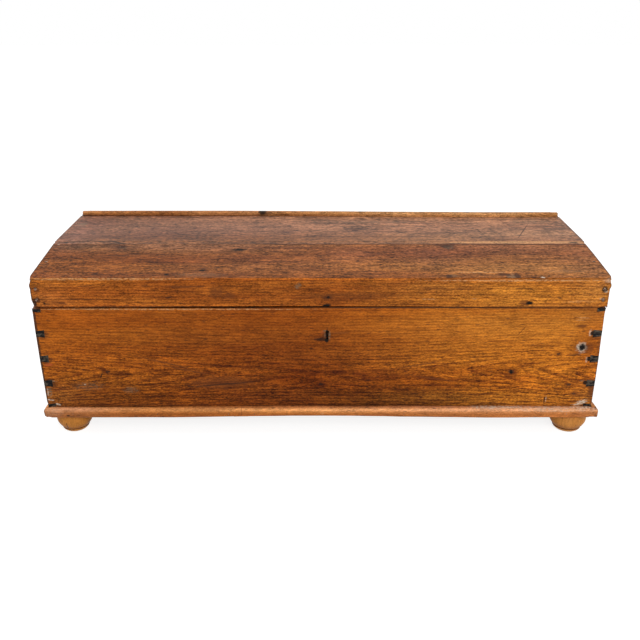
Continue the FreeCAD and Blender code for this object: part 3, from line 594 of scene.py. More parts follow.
RAW_TONE = tones((0.36, 0.215, 0.115), (0.25, 0.14, 0.07), (0.13, 0.068, 0.033))
GRIME_TONE = (0.075, 0.032, 0.012)
END_TONES = (0.008, 0.007, 0.007), (0.085, 0.068, 0.05)
NICK_SHARE, HALO_SHARE, CORE_SHARE = 0.55, 0.45, 0.9
GRIME_HEIGHT, GRIME_FRAY = 0.065, 0.05
ARRIS_FRAY = 2.4
RAW_ROUGHNESS, DRY_ROUGHER = 0.8, 0.32
FLECKS = (((2.4, 1.3, 1), (0.3, 0.1, 0), 0.24, "dark", 0.4),
          ((2.0, 1.6, 1), (0.7, 0.5, 0), 0.2, "light", 0.45))
print("raw wood", RAW_TONE["light"])

# %% Knots and flecks of a board
def grow_knots(web, place, ragged, knots):
    """How far a board's knots bend its rings, and the masks of their cores and halos."""
    bend, cores, halos = 0.0, [], []
    for _, x, y, size in knots:
        knot = use_group(web, "branch_knot", Vector=place, Centre=(x * MM, y * MM, 0),
                         Radius=size * MM, Ragged=ragged)
        bend = web.sum("ADD", bend, knot["Bend"])
        cores.append(knot["Core"])
        halos.append(knot["Halo"])
    return bend, greatest(web, cores), greatest(web, halos)


def scatter_flecks(web, place, colour, tone, bold_share):
    """Dark and light flecks along the grain, more where the figure is bold."""
    for spread, offset, share, tone_name, strength in FLECKS:
        shifted = web.vector("ADD", web.vector("MULTIPLY", place, spread), offset)
        fleck = use_group(web, "grain_nicks", Vector=shifted, Share=share, Size=0.45)
        strength_here = web.sum("MULTIPLY", bold_share, strength)
        amount = web.sum("MULTIPLY", fleck["Mask"], strength_here, clamp=True)
        colour = web.blend(amount, colour, tone[tone_name])
    return colour


print("knots and flecks ready")

# %% Dirt, wear and dry wood of a board
def dirty_foot(web, place, ragged, colour, grime):
    """Dirt from the floor, which fades out a hand above a board's lower edge."""
    low_edge = web.sum("MULTIPLY_ADD", ragged, GRIME_FRAY, web.split(place)[1])
    dirty = web.grade(low_edge, 0.0, GRIME_HEIGHT, grime, 0.0, True)
    return web.blend(dirty, colour, GRIME_TONE)


def darken_arrises(web, place, ragged, colour, arris, share, **block):
    """A darker line on the arrises: grime, and painted shade. Block gives their Low, High and
    Width.
    """
    fray = web.sum("MULTIPLY", ragged, ARRIS_FRAY)
    edge = use_group(web, "worn_arris", Vector=place, Ragged=fray, **block)["Mask"]
    edge = web.sum("MULTIPLY", web.grade(edge, 0.0, 0.6, smooth=True), share)
    return web.blend(edge, colour, arris)


def darken_ends(web, facing, ragged, colour, end_dark):
    """Dirt in the end grain, where a board faces along its own length."""
    end = web.grade(web.sum("ABSOLUTE", facing[0]), 0.75, 0.95)
    worn_end = web.grade(ragged, -0.06, 0.16, smooth=True)
    end_tone = web.blend(worn_end, *END_TONES)
    return web.blend(web.sum("MULTIPLY", end, end_dark), colour, end_tone)


def leave_dry(web, facing, figure, colour, rough, raw):
    """Wood that was never waxed: all of a raw board, or else the side that faces inwards."""
    dry = use_group(web, "pine_finish", **figure, Light=RAW_TONE["light"],
                    Middle=RAW_TONE["middle"], Dark=RAW_TONE["dark"], Ring_Share=0.5,
                    Streak_Share=0.45, Contrast=0.7)["Colour"]
    if raw:
        return dry, RAW_ROUGHNESS
    inside = web.grade(facing[2], -0.35, -0.75)
    return web.blend(inside, colour, dry), web.sum("MULTIPLY_ADD", inside, DRY_ROUGHER, rough)


print("dirt and wear ready")

# %% Build a pine material
def pine(name, origin, along, across, tone, pith, seed, ring=0.0042, taper=0.0, wander=0.012,
         ring_share=0.6, streak_share=0.6, knots=(), marks=None, bow=0.0, low=(0, 0, 0),
         high=(1, 1, 1), arris=None, arris_width=0.003, arris_share=0.8, raw_inside=True, raw=False,
         end_dark=0.85, roughness=0.0, grime=0.0, wax=0.06, coarse=1.0, contrast=1.0, lively=None):
    """A material for one board. Knots are (name, x, y, radius) in mm, marks a table by kind.
    Lively is (y, share there, y, share there): how bold the figure is across the width."""
    material, web = new_material(name)
    place, facing = board_measure(web, origin, along, across)
    facing = web.split(facing)
    frayed = web.noise(place, detail=3.0, rough=0.6, stretch=(70, 210, 90))
    ragged = web.sum("SUBTRACT", frayed, 0.5)
    bend, core, halo = grow_knots(web, place, ragged, knots)
    figure = use_group(web, "pine_figure", Vector=place, Pith=(0, pith[0], pith[1]), Seed=seed,
                       Taper=taper, Bow=bow, Wander=wander, Ring_Width=ring, Knot_Bend=bend,
                       Coarse=coarse)
    figure = {part: figure[part] for part in ("Rings", "Streaks", "Fibre", "Broad")}
    if lively:
        quiet_y, quiet, bold_y, bold = lively
        bold_share = web.grade(web.split(place)[1], quiet_y, bold_y, quiet, bold)
        ring_share = web.sum("MULTIPLY", bold_share, ring_share)
        streak_share = web.sum("MULTIPLY", bold_share, streak_share)
        contrast = web.sum("MULTIPLY", bold_share, contrast)
    waxed = use_group(web, "pine_finish", **figure, Light=tone["light"], Middle=tone["middle"],
                      Dark=tone["dark"], Ring_Share=ring_share, Streak_Share=streak_share,
                      Contrast=contrast)
    nicks = use_group(web, "grain_nicks", Vector=place)["Mask"]
    colour = web.blend(web.sum("MULTIPLY", nicks, NICK_SHARE), waxed["Colour"], MARK_TONES["dark"])
    if knots:
        colour = web.blend(web.sum("MULTIPLY", halo, HALO_SHARE), colour, tone["dark"])
        colour = web.blend(web.sum("MULTIPLY", core, CORE_SHARE), colour, MARK_TONES["dark"])
    if grime:
        colour = dirty_foot(web, place, ragged, colour, grime)
    if lively:
        colour = scatter_flecks(web, place, colour, tone, bold_share)
    colour, hollows = lay_marks(web, place, ragged, colour, marks or {})
    if arris:
        colour = darken_arrises(web, place, ragged, colour, arris, arris_share, Low=low, High=high,
                             Width=arris_width)
    if not raw:
        colour = darken_ends(web, facing, ragged, colour, end_dark)
    rough = waxed["Roughness"]
    if raw or raw_inside:
        colour, rough = leave_dry(web, facing, figure, colour, rough, raw)
    rough = web.sum("ADD", rough, roughness)
    height = web.sum("SUBTRACT", waxed["Relief"], greatest(web, [nicks] + hollows))
    coat(web, colour, rough, height, strength=0.35, depth=0.0006, gloss=wax)
    return material


print("pine ready")

# %% [markdown]
# ## The pines of this chest
# The front of the chest is bright amber, browner in the middle and at the foot. The lid is darker
# and redder, with a grey bloom from standing in the light and a painted sheen on its top. The
# mouldings and feet were turned and planed from paler wood.

# %% Browns of the finishes
CASE_TONE = tones((0.5, 0.142, 0.013), (0.35, 0.086, 0.007), (0.085, 0.015, 0.003))
LID_FRONT_TONE = tones((0.47, 0.145, 0.018), (0.33, 0.085, 0.01), (0.08, 0.016, 0.004))
TOP_TONE = tones((0.32, 0.112, 0.032), (0.23, 0.07, 0.02), (0.04, 0.011, 0.006))
# The rear board's browns are greyer: grey bloom, and partly a painted sheen.
REAR_TONE = tones((0.33, 0.146, 0.073), (0.25, 0.102, 0.051), (0.055, 0.02, 0.012))
MOULD_TONE = tones((0.55, 0.2, 0.05), (0.43, 0.145, 0.032), (0.19, 0.048, 0.009))
BEAD_TONE = tones((0.56, 0.26, 0.09), (0.44, 0.17, 0.045), (0.2, 0.06, 0.015))
FOOT_TONE = tones((0.6, 0.25, 0.05), (0.48, 0.18, 0.03), (0.22, 0.062, 0.01))
BACK_TONE = tones((0.3, 0.115, 0.03), (0.21, 0.072, 0.016), (0.06, 0.017, 0.005))
# Dark arris lines: grime, and painted shade along the edges and at the gap under the lid.
CASE_ARRIS = {"arris": (0.05, 0.022, 0.012), "arris_width": 0.0022}
TOP_ARRIS = {"arris": (0.09, 0.036, 0.02), "arris_share": 0.6}
print("tones ready")

# %% [markdown]
# ## Sizes read from the frame
# The boards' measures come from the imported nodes, so a changed size in the model moves every
# pattern with it. Only the slopes of the cranked top are written here, because a box doesn't show
# them.

# %% Read the boards' places
def corners(*names):
    """Lowest and highest corner of one or more nodes."""
    boxes = [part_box(name) for name in names]
    low = Vector([min(box[0][i] for box in boxes) for i in range(3)])
    high = Vector([max(box[1][i] for box in boxes) for i in range(3)])
    return low, high


front_low, front_high = corners("front_board")
back_low, back_high = corners("back_board")
left_low, left_high = corners("left_end_board")
right_low, right_high = corners("right_end_board")
lid_low, lid_high = corners("lid_front_rail", "lid_back_rail", "lid_top_front_board",
                            "lid_top_rear_board")
rail_low, rail_high = corners("lid_front_rail")
top_low, top_high = corners("lid_top_front_board")
bead_low = corners("lid_back_bead")[0]
mould_low, mould_high = corners("base_moulding_front_left", "base_moulding_front_right")
print("chest front", tuple(round(v, 4) for v in front_high - front_low))

# %% Find the arris and the bend of the lid
FRONT_RISE, FRONT_RUN = 0.028, 0.1985
REAR_SLOPE = math.radians(3.3)
front_slope = math.atan2(FRONT_RISE, FRONT_RUN)
arris = Vector((0, lid_low.y, top_high.z - FRONT_RISE))
bend = Vector((0, lid_low.y + FRONT_RUN, top_high.z))
up_front = (0, math.cos(front_slope), math.sin(front_slope))
up_rear = (0, math.cos(REAR_SLOPE), math.sin(REAR_SLOPE))
print("arris", tuple(round(v, 4) for v in arris), "bend", tuple(round(v, 4) for v in bend))

# %% [markdown]
# ## The chest front
# This board is seen most, so it has the longest tables. Sun has bleached its right half and smoke
# and hands have browned its middle. The marks gather round the keyhole, the knot at the right and
# the pins of the dovetails. Heights are measured from the top of the base moulding.

# %% Tints of the chest front
FRONT_TINTS = {
    "sunned": [("right", 460, 90, 360, 200, 0.76)],
    "browned": [
        ("key shadow", 6, 178, 40, 20, 1), ("middle", -40, 20, 440, 120, 0.95),
        ("middle above", -40, 140, 380, 160, 0.7), ("shade along the top", 350, 253, 500, 12, 0.35),
    ],
    # Lighter above the left foot: wear and a painted highlight.
    "rubbed_and_highlit": [("worn foot left", -605, 42, 45, 22, 0.32)],
    "greened": [
        ("dirt", 200, 18, 250, 30, 0.8), ("dirt left", -520, 40, 160, 50, 0.5),
        ("foot left", -600, 45, 70, 35, 0.4),
    ],
    "reddened": [("right", 628, 150, 32, 85, 0.75)],
    # Grey bloom and a painted sheen at the top right.
    "bloom_and_sheen": [("top right", 480, 222, 200, 22, 0.2)],
    "honey": [
        ("arch light 1", -350, 123.5, 60, 2.4, 0.8, -13),
        ("arch light 2", -300, 106, 55, 2.2, 0.7, -12),
        ("arch light 3", -250, 85, 50, 2.2, 0.7, -10),
        ("arch light 4", -120, 90.5, 60, 2.2, 0.6, 6),
    ],
    "darkened": [
        ("left above", -310, 180, 180, 30, 0.7), ("by the shake", -235, 66, 100, 30, 0.9),
        ("right of the key", 30, 125, 160, 40, 0.5), ("low", -140, 36, 220, 16, 0.5),
        ("top right", 540, 223, 110, 18, 0.4),
    ],
    "lifted": [
        ("top", 140, 237, 240, 16, 0.4), ("top left", -560, 228, 150, 30, 0.6),
        ("left", -550, 120, 120, 45, 0.3), ("low right", 210, 85, 110, 20, 0.8),
        ("right low", 460, 60, 180, 60, 0.6), ("by the knot", 500, 135, 50, 30, 0.5),
    ],
    "cooled": [
        ("right top", 460, 205, 240, 50, 0.5), ("foot left", -615, 18, 65, 32, 0.7),
        ("right edge", 635, 20, 30, 35, 0.8), ("right corner", 615, 235, 60, 30, 1),
    ],
    "warmed": [
        ("left", -450, 70, 220, 60, 0.3), ("low left", -370, 30, 130, 24, 0.7),
        ("top", -20, 235, 200, 22, 0.35), ("by the key", -45, 75, 60, 24, 1),
        ("low middle", 80, 30, 100, 30, 0.6), ("right of the key", 240, 75, 120, 22, 0.5),
        ("low right", 420, 60, 100, 40, 0.4),
    ],
}
print("front tints", spots_in(FRONT_TINTS))

# %% Marks on the chest front
FRONT_MARKS = {
    "grey": [
        ("old paint", -546.4, 52.8, 40, 12, 0.35), ("old paint right", -448, 42, 20, 9, 0.5),
        ("worn corner", -640.5, 36.5, 6, 15, 0.85),
        ("key flecks above", 13.5, 193.5, 8.5, 2.8, 0.9), ("key rim left", 10.5, 185, 2.2, 8, 0.8),
        ("key rim right", 21.2, 184, 2.4, 12.5, 1), ("pin rim left 3", -628, 65.5, 10, 2.2, 0.9),
        ("pin rim right 3", 620, 66, 9, 2, 0.8),
    ],
    "pale": [
        ("worn streak", 600, 226.2, 16, 1.8, 0.7, -2),
        ("worn streak under", 592, 220.5, 13, 1.4, 0.5, 2),
        # A painted highlight on the arris just under the gap.
        ("pale arris under the gap", -360, 247, 340, 1.8, 0.85),
    ],
    "bare": [
        ("broken rim", 604.5, 152, 12.5, 14.5, 0.85, 20),
        ("broken rim left", 596, 153, 3.6, 8.5, 0.8, 25), ("shake rim", 537.5, 18.5, 1.4, 9, 0.5),
        ("chip top right", 637.2, 245.5, 9, 3, 0.8, 12),
        ("chip foot right", 623.5, 9.5, 15, 6.2, 1, 20),
        ("chip foot right low", 612, 3, 12, 2.2, 0.9), ("worn corner pale", -645, 37, 2, 12, 0.7),
        ("paint fleck", -554.2, 56.8, 3, 1.8, 0.9), ("flecks at foot", -625.5, 4, 7, 3.2, 1, -20),
        ("foot pin rim left", -641, 15.5, 9, 1.8, 1, -6),
        ("pin rim right 1", 620, 189.5, 4, 8.8, 0.75),
        ("pin rim right 2", 620.5, 121.5, 3.4, 7.5, 0.6),
    ],
    "reddish": [
        ("key flecks red", 4.5, 190.5, 4.5, 4.5, 0.5),
        ("pin chip left", -634.5, 108.5, 11, 4.5, 0.9, 12),
    ],
    "brown": [
        ("patch", 597.1, 206.2, 13, 4, 0.8), ("key stain right", 48, 189, 30, 2.2, 0.6),
        ("arch line left", -360, 113, 85, 2, 0.7, -14),
        ("arch line left 2", -310, 94, 70, 2, 0.7, -12),
        ("arch line right", 230, 108, 60, 2.4, 0.7, 10),
        ("arch line right 2", 270, 72, 70, 2.2, 0.6, -9),
        # At the top right, a painted shadow from the gap under the lid.
        ("dirt along the top right", 530, 251.2, 160, 3, 0.9), ("edge right", 642, 40, 8, 20, 0.85),
        ("edge right high", 645, 150, 6, 30, 0.45), ("by the shake", -235, 62, 80, 18, 0.55),
        ("by the right knot", 622, 150, 12, 15, 0.5), ("right low", 612, 36, 18, 12, 0.35),
    ],
    "dark": [
        ("stain by knot", 590, 133.3, 16, 3.5, 0.7, 4), ("shake", 534, 15.5, 1.6, 12, 0.9),
        ("scratch top", 464.3, 208.7, 9, 1.1, 0.75, -6),
        ("scratch leg", 462.5, 195.5, 18.5, 1, 0.8, 52),
        ("key smear left", -4, 173.8, 13, 3.6, 0.5, 3),
        ("key rubbed left", 8.5, 180, 5.8, 13.5, 0.35), ("long shake", -241, 56.3, 85, 2.2, 0.8, 5),
        ("pin dirt left 1", -637.5, 183, 16, 10.5, 0.6),
        ("pin dirt left 2", -637.5, 120.5, 16, 10.5, 0.6),
        ("pin dirt left 3", -637.5, 57.3, 16, 8.5, 0.6),
        ("pin dirt right 1", 638, 183, 16, 10.5, 0.6),
        ("pin dirt right 2", 638, 120.5, 17, 9.5, 0.6),
        ("pin dirt right 3", 638, 57.3, 18, 8.5, 0.6),
        # A dark line along the right edge, and darker along the foot over the moulding.
        ("edge dirt right", 648.5, 125, 1.6, 140, 0.6),
        ("dirt over moulding left", -400, 0, 260, 4.5, 0.4),
        ("dirt over moulding", 0, 0, 240, 3.5, 0.6),
    ],
    "hole": [
        ("open knot", 605.6, 152.4, 7.8, 9.8, 1), ("resin hole", 447.7, 89.5, 3.5, 6, 1, 15),
        ("tool slip", -513.7, 79.2, 1.4, 7.5, 0.9, -25), ("key smear", 4.5, 172.8, 12.5, 4.6, 0.7),
        ("key slot worn long", 15.2, 171, 5.2, 6.8, 1),
        ("key slot worn wide", 15.6, 184, 3.8, 17, 0.95),
        # Along the top, a painted shadow in the gap under the lid.
        ("dirt along the top", -400, 251.8, 360, 2.6, 0.9),
        ("pin reach right 1", 625.5, 189.5, 6.2, 6.6, 0.95),
        ("pin reach right 2", 625.5, 124, 6.2, 6.2, 0.95),
        ("pin reach right 3", 625, 62, 6.5, 6.2, 0.95),
    ],
}
print("front marks", spots_in(FRONT_MARKS))

# %% Pine of the chest front
BOARD = 0.021
FRONT_SHOWN = 0.251
chest_height = front_high.z - front_low.z
half_length = front_high.x
front_pine = pine(
    "front_pine", (0, front_low.y, front_high.z - FRONT_SHOWN), RIGHT, UP, CASE_TONE,
    pith=(0.085, -0.056), seed=(3.1, 0.4, 0.2), ring=0.0066, taper=0.006, bow=0.1, wander=0.03,
    ring_share=0.66, streak_share=0.85, grime=0.12, lively=(0.19, 0.66, 0.08, 1.3), contrast=1.15,
    low=(-half_length, FRONT_SHOWN - chest_height, -BOARD), high=(half_length, FRONT_SHOWN, 0),
    arris_share=0.85, **CASE_ARRIS,
    knots=(("by the right pins", 605.6, 152.4, 8.5),
           ("above the arches", 553.4, 135.9, 3),
           ("black knot", 447.7, 90.8, 4.5),
           ("right low", 586.9, 56.8, 3.5),
           ("right lowest", 601.9, 32.9, 3),
           ("left", -497.7, 89.5, 4),
           ("middle low", 2, 58, 3.5)),
    marks=FRONT_TINTS | FRONT_MARKS)
print("front_pine", len(front_pine.node_tree.nodes), "nodes")

# %% Pine of the back
back_pine = pine(
    "back_pine", (0, back_high.y, back_low.z), LEFT, UP, BACK_TONE,
    pith=(0.16, -0.045), seed=(7.7, 1.4, 0.9), ring=0.006, bow=-0.08, wander=0.03, grime=0.5,
    roughness=0.2, ring_share=0.7, streak_share=0.7, contrast=1.2,
    low=(-half_length, 0, -BOARD), high=(half_length, chest_height, 0),
    arris=CASE_ARRIS["arris"],
    knots=(("left", -310, 75, 8), ("middle", 70, 190, 6),
           ("right", 460, 110, 9)),
    marks={"greened": [("damp foot", 100, 0, 900, 50, 0.7)],
           "pale": [("drag", 200, 130, 80, 1.6, 0.5, 5),
                    ("drag low", 250, 120, 60, 1.4, 0.4, 4)]})
print("back_pine", len(back_pine.node_tree.nodes), "nodes")

# %% Pine of the two ends
half_depth = (left_high.y - left_low.y) / 2
end_look = {"wander": 0.02, "grime": 0.6, "end_dark": 1.0, "arris": (0.06, 0.03, 0.017),
            "low": (-half_depth, 0, -BOARD), "high": (half_depth, chest_height, 0)}
left_end_pine = pine(
    "left_end_pine", (left_low.x, 0, left_low.z), FORWARD, UP, CASE_TONE,
    pith=(0.17, -0.03), seed=(1.2, 5.4, 0.3), taper=0.02, **end_look,
    knots=(("high", -70, 170, 7), ("low", 100, 60, 5)),
    marks={"pale": [("rub", -120, 110, 30, 4, 0.3, 4)],
           "dark": [("knock", 120, 200, 12, 1.2, 0.7, 30)]})
right_end_pine = pine(
    "right_end_pine", (right_high.x, 0, right_low.z), BACKWARD, UP, CASE_TONE,
    pith=(0.05, -0.025), seed=(4.6, 2.2, 0.6), taper=-0.02, **end_look,
    knots=(("mid", 40, 130, 8), ("rear", 130, 70, 4)),
    marks={"pale": [("rub", 20, 200, 40, 4, 0.3)],
           "dark": [("knock", -100, 180, 10, 1.2, 0.7, -35)]})
print("ends ready")

# %% [markdown]
# ## The lid's front edge
# The edge of the top board and the rail under it were glued and planed together, and age has made
# them one strip. They share one pine and one table, measured up from the rail's lower edge. The
# arris above is worn and carries a painted highlight, and the gap below gets a painted shadow.

# %% Tints of the lid's front edge
RAIL_TINTS = {
    "sunned": [("right", 460, 30, 300, 60, 0.9)],
    "browned": [
        # The rounded arris at the right is darkened as painted shade where it turns from the light.
        ("rounded arris right", 420, 67.5, 320, 4, 0.9), ("middle", 0, 30, 300, 60, 0.25),
    ],
    "honey": [
        # The lighter lines along the arris and along the lower edge are wear and a painted
        # highlight.
        ("worn arris right", 420, 61.8, 300, 3.4, 0.55),
        ("worn arris middle", 0, 64.5, 300, 4.4, 0.7), ("worn foot left", -350, 2, 350, 3, 0.7),
    ],
    "darkened": [("right of the keeper", 220, 45, 110, 22, 0.45)],
    "lifted": [
        ("left low", -560, 22, 140, 40, 0.7), ("right end", 550, 10, 130, 16, 0.5),
    ],
    "cooled": [
        ("right of the keeper", 240, 50, 120, 22, 0.45), ("right end", 630, 50, 60, 35, 1),
        ("left end", -620, 15, 60, 32, 0.8),
    ],
}
print("lid edge tints", spots_in(RAIL_TINTS))

# %% Marks on the lid's front edge
RAIL_MARKS = {
    "grey": [("grey dent", -50, 50, 9, 6, 0.7, 35)],
    "pale": [
        ("worn pale", 245, 17.8, 22, 1.4, 0.7, -1), ("worn pale right", 345, 18.6, 8, 1.3, 0.6),
        ("worn low right", 580, 12, 35, 2.5, 0.5, 2),
        # Pale arris lines: wear and a painted highlight.
        ("pale arris right", 450, 62.2, 220, 2.4, 0.85),
        ("worn arris left", -500, 65.5, 220, 3, 0.75),
    ],
    "bare": [
        ("worn corner right", 634, 18.5, 7, 2.5, 0.6, -8),
        ("grey corner right", 644, 62, 14, 6, 0.45), ("nail rub right", 640, 36, 6, 3, 0.8),
    ],
    "brown": [
        ("knot rim", 462, 9, 13, 7, 0.8), ("band", 60, 26, 120, 9, 0.4),
        ("spot right", -583, 8.5, 11, 3, 0.9), ("seam left 3", -300, 47.5, 50, 2.5, 0.8),
        ("blotch", -234.7, 34, 20, 14, 0.55), ("blotch low", -205, 26, 14, 10, 0.5),
        # A painted shadow in the gap under the lid, at the right.
        ("dirt in the gap right", 530, -0.5, 160, 1.4, 0.7),
        ("knot left", 250, 44, 35, 1.8, 0.6, -2),
    ],
    "dark": [
        ("resin streak", 454.5, 43.4, 22, 1.3, 0.8), ("keeper shadow", 17.3, 21.5, 13, 7.5, 0.55),
        ("check", -540, 17.6, 70, 0.9, 0.75, 0.6), ("seam left", -526.9, 49.3, 22, 1.5, 0.8, 2),
        ("seam left 2", -392.8, 49.3, 12, 1.3, 0.8), ("seam right", 575, 49.3, 28, 1.2, 0.7),
        ("nail ring low left", -636.5, 16.5, 6.8, 7.5, 0.85),
        ("nail ring high left", -636.5, 40.5, 6.8, 7.5, 0.6),
        ("nail ring low right", 636.5, 16.5, 6.8, 7.5, 0.6),
        # A painted shadow in the gap under the lid.
        ("dirt in the gap", -300, -0.5, 420, 1.6, 0.9), ("small fleck", -340, 22.5, 8, 2.2, 0.8, 8),
        ("small fleck 2", -315, 8.5, 6, 1.5, 0.7),
    ],
    "hole": [
        ("knot", 471, 8.5, 8.5, 4.5, 1), ("keeper mark", 17.3, 22.5, 4, 3.5, 0.9),
        ("keeper notch", 14.1, 2.8, 10.5, 3.5, 1), ("spot", -623, 7.5, 3.5, 3, 0.9),
        # Dark in the lower left corner.
        ("dirt in corner", -645, 8, 6, 11, 0.9),
        ("nail ring high right", 636.5, 40.5, 7.5, 7.5, 0.9),
    ],
}
print("lid edge marks", spots_in(RAIL_MARKS))

# %% Pine of the lid's rails and ends
OVER = 0.05
lid_half = rail_high.x
rail_pine = pine(
    "lid_front_pine", (0, rail_low.y, rail_low.z), RIGHT, UP, LID_FRONT_TONE,
    pith=(-0.05, -0.04), seed=(9.3, 0.1, 0.7), ring=0.006, taper=0.008, wander=0.016,
    ring_share=0.55, streak_share=0.8, contrast=1.25, marks=RAIL_TINTS | RAIL_MARKS,
    low=(-lid_half, -OVER, -BOARD), high=(lid_half, arris.z - rail_low.z + OVER, 0),
    arris_share=0.7, **CASE_ARRIS)
back_rail_pine = pine(
    "lid_back_pine", (0, back_high.y, rail_low.z), LEFT, UP, BACK_TONE,
    pith=(-0.06, -0.05), seed=(2.3, 0.8, 0.4), roughness=0.2, contrast=1.2,
    low=(-lid_half, 0, -BOARD), high=(lid_half, 0.2, 0), arris=(0.08, 0.04, 0.02))
lid_end_look = {"arris": (0.07, 0.035, 0.02), "low": (-half_depth, 0, -BOARD),
                "high": (half_depth, 0.2, 0)}
lid_left_pine = pine(
    "lid_left_pine", (lid_low.x, 0, rail_low.z), FORWARD, UP, LID_FRONT_TONE,
    pith=(0.02, -0.02), seed=(5.5, 3.8, 0.1), taper=0.02, **lid_end_look)
lid_right_pine = pine(
    "lid_right_pine", (lid_high.x, 0, rail_low.z), BACKWARD, UP, LID_FRONT_TONE,
    pith=(0.05, -0.03), seed=(6.5, 7.8, 0.5), taper=-0.02, **lid_end_look)
print("lid rails and ends ready")

# %% [markdown]
# ## The two boards of the top
# The top has had the most wear: it is the seat, the shelf and the workbench of a house. Both
# boards have coarse open grain. Grey bloom lies on the rear one, with a painted sheen that reaches
# the back of the front one too. The front one is measured up its slope from the arris, and the
# rear one from the bend.

# %% Tints of the front board of the top
TOP_TINTS = {
    "sunned": [("right", 470, 45, 320, 60, 0.85)],
    "browned": [
        ("low left", -500, 30, 220, 40, 0.15), ("right", 400, 150, 220, 50, 0.45),
        ("left", -460, 125, 120, 50, 0.3),
    ],
    "greened": [("by the joint", -580, 168, 70, 16, 0.9)],
    # Grey bloom and a painted sheen, stronger towards the seam.
    "bloom_and_sheen": [
        ("grey bloom right", 440, 160, 300, 50, 0.3), ("by the seam", -380, 172, 300, 32, 0.9),
    ],
    "honey": [("worn line", 370, 28, 110, 3, 0.9)],
    "darkened": [
        ("mid left", -300, 100, 200, 65, 0.5), ("right", 265, 80, 90, 45, 0.6),
        ("by arris", -190, 16, 170, 18, 0.55), ("by arris right", 130, 10, 190, 14, 0.4),
        ("by seam left", -280, 168, 180, 34, 0.9), ("middle", -120, 90, 90, 110, 0.25),
    ],
    "lifted": [
        ("by arris left", -550, 12, 130, 22, 0.3), ("mid right", 130, 105, 70, 75, 0.9),
        ("seam right", 450, 160, 240, 32, 0.95), ("right end", 620, 90, 55, 80, 0.5),
        ("right front", 330, 16, 130, 20, 0.3),
    ],
    "cooled": [
        ("by the seam", -330, 168, 300, 28, 0.45), ("by the seam right", 450, 165, 220, 35, 0.45),
        ("right", 250, 120, 90, 55, 0.6), ("right end", 625, 100, 60, 110, 0.4),
        ("middle", 80, 130, 70, 40, 0.5), ("left end", -620, 160, 60, 50, 0.5),
    ],
    "warmed": [
        ("by arris", 0, 10, 800, 20, 0.6), ("left", -500, 65, 200, 70, 0.9),
        ("mid right", 200, 50, 140, 70, 0.35),
    ],
}
print("front board tints", spots_in(TOP_TINTS))

# %% Marks on the front board of the top
TOP_MARKS = {
    "grey": [
        ("stain right front", 430, 10, 16, 14, 0.9),
        ("stain middle front rim", 294, 13, 12, 8, 0.6), ("seam knot rim", 310, 166, 13, 12, 0.7),
        ("seam knot left rim", -474, 160, 12, 6, 0.7), ("dirt by arris", -270, 16, 60, 11, 0.4),
        ("grey right end", 560, 35, 50, 8, 0.35),
    ],
    "pale": [
        # The pale arris line is wear and a painted highlight.
        ("worn arris left", -500, -1, 220, 1.8, 0.4), ("worn line pale", 365, 28.5, 75, 2.6, 0.9),
    ],
    "bare": [
        ("bright chip", 495.4, 3, 5.5, 4, 1), ("seam fleck", -483, 167, 1.8, 1.6, 0.9),
    ],
    "dark": [
        ("hole end", -506.9, 21.8, 6, 3, 0.9, 10), ("hole mid", 87.4, 87.9, 5, 3.5, 0.9, 20),
        ("stain right front dark", 440, 12, 8, 16, 0.85),
        ("stain right front left", 412, 18, 18, 9, 0.8), ("stain middle front", 287, 9, 8, 10, 0.8),
        ("check right", 553.6, 66.6, 20, 1.5, 0.7, -3),
        ("line mid left", -490, 118, 50, 3.4, 0.6, 2), ("line low mid", -100, 85, 90, 3.4, 0.6, 1),
        ("chip left of it", 475, 4, 8, 3, 0.8), ("check left", -612.4, 93.3, 18, 1.4, 0.7, 3),
        ("seam knot", 305, 170.5, 14, 13, 0.7), ("seam knot ray", 325, 181, 20, 3.5, 0.7, 20),
        ("seam knot left", -479.2, 166.4, 12, 12, 0.7),
        ("scratch pair", 160.7, 52, 18, 1.1, 0.7, 20), ("pit right", 565, 118, 8, 3, 0.7),
        ("pit right 2", 603, 123.3, 7, 3, 0.7), ("pit right 3", 530, 80, 6, 3, 0.6),
        ("dirt at the joint", 100, 183.5, 560, 3, 0.7), ("joint right", 500, 180.5, 200, 3.4, 0.75),
        # Dark lines along both end edges.
        ("edge dirt", 649, 100, 1.8, 120, 0.6), ("edge dirt left", -649, 100, 1.8, 120, 0.5),
    ],
    "hole": [
        ("long hole", -193.7, 150.8, 18, 7.2, 1), ("hole", -268.2, 38.5, 7, 4.5, 0.95, 8),
        ("hole small", -234.5, 55, 6, 3.2, 0.9), ("hole left", -345.8, 17.7, 4.5, 4, 0.9),
    ],
}
print("front board marks", spots_in(TOP_MARKS))

# %% Pine of the front board of the top
TOP_BOARD = 0.02
top_look = {"ring": 0.007, "wander": 0.022, "streak_share": 0.8, **TOP_ARRIS}
facet_width = FRONT_RUN / math.cos(front_slope)
top_pine = pine(
    "lid_top_pine", arris, RIGHT, up_front, TOP_TONE,
    pith=(-0.09, -0.06), seed=(1.9, 6.1, 0.2), taper=0.012, roughness=0.04, coarse=1.9,
    contrast=1.75, **top_look,
    low=(-lid_half, -OVER, -TOP_BOARD), high=(lid_half, facet_width + OVER, 0),
    knots=(("middle", 87.4, 87.9, 3.5), ("left front", -268.2, 38.5, 4.5),
           ("left front small", -345.8, 17.7, 4.5), ("left end", -506.9, 21.8, 3.5),
           ("left by seam", -479.2, 166.4, 6), ("right by seam", 305, 170.5, 6)),
    marks=TOP_TINTS | TOP_MARKS)
print("top_pine", len(top_pine.node_tree.nodes), "nodes")

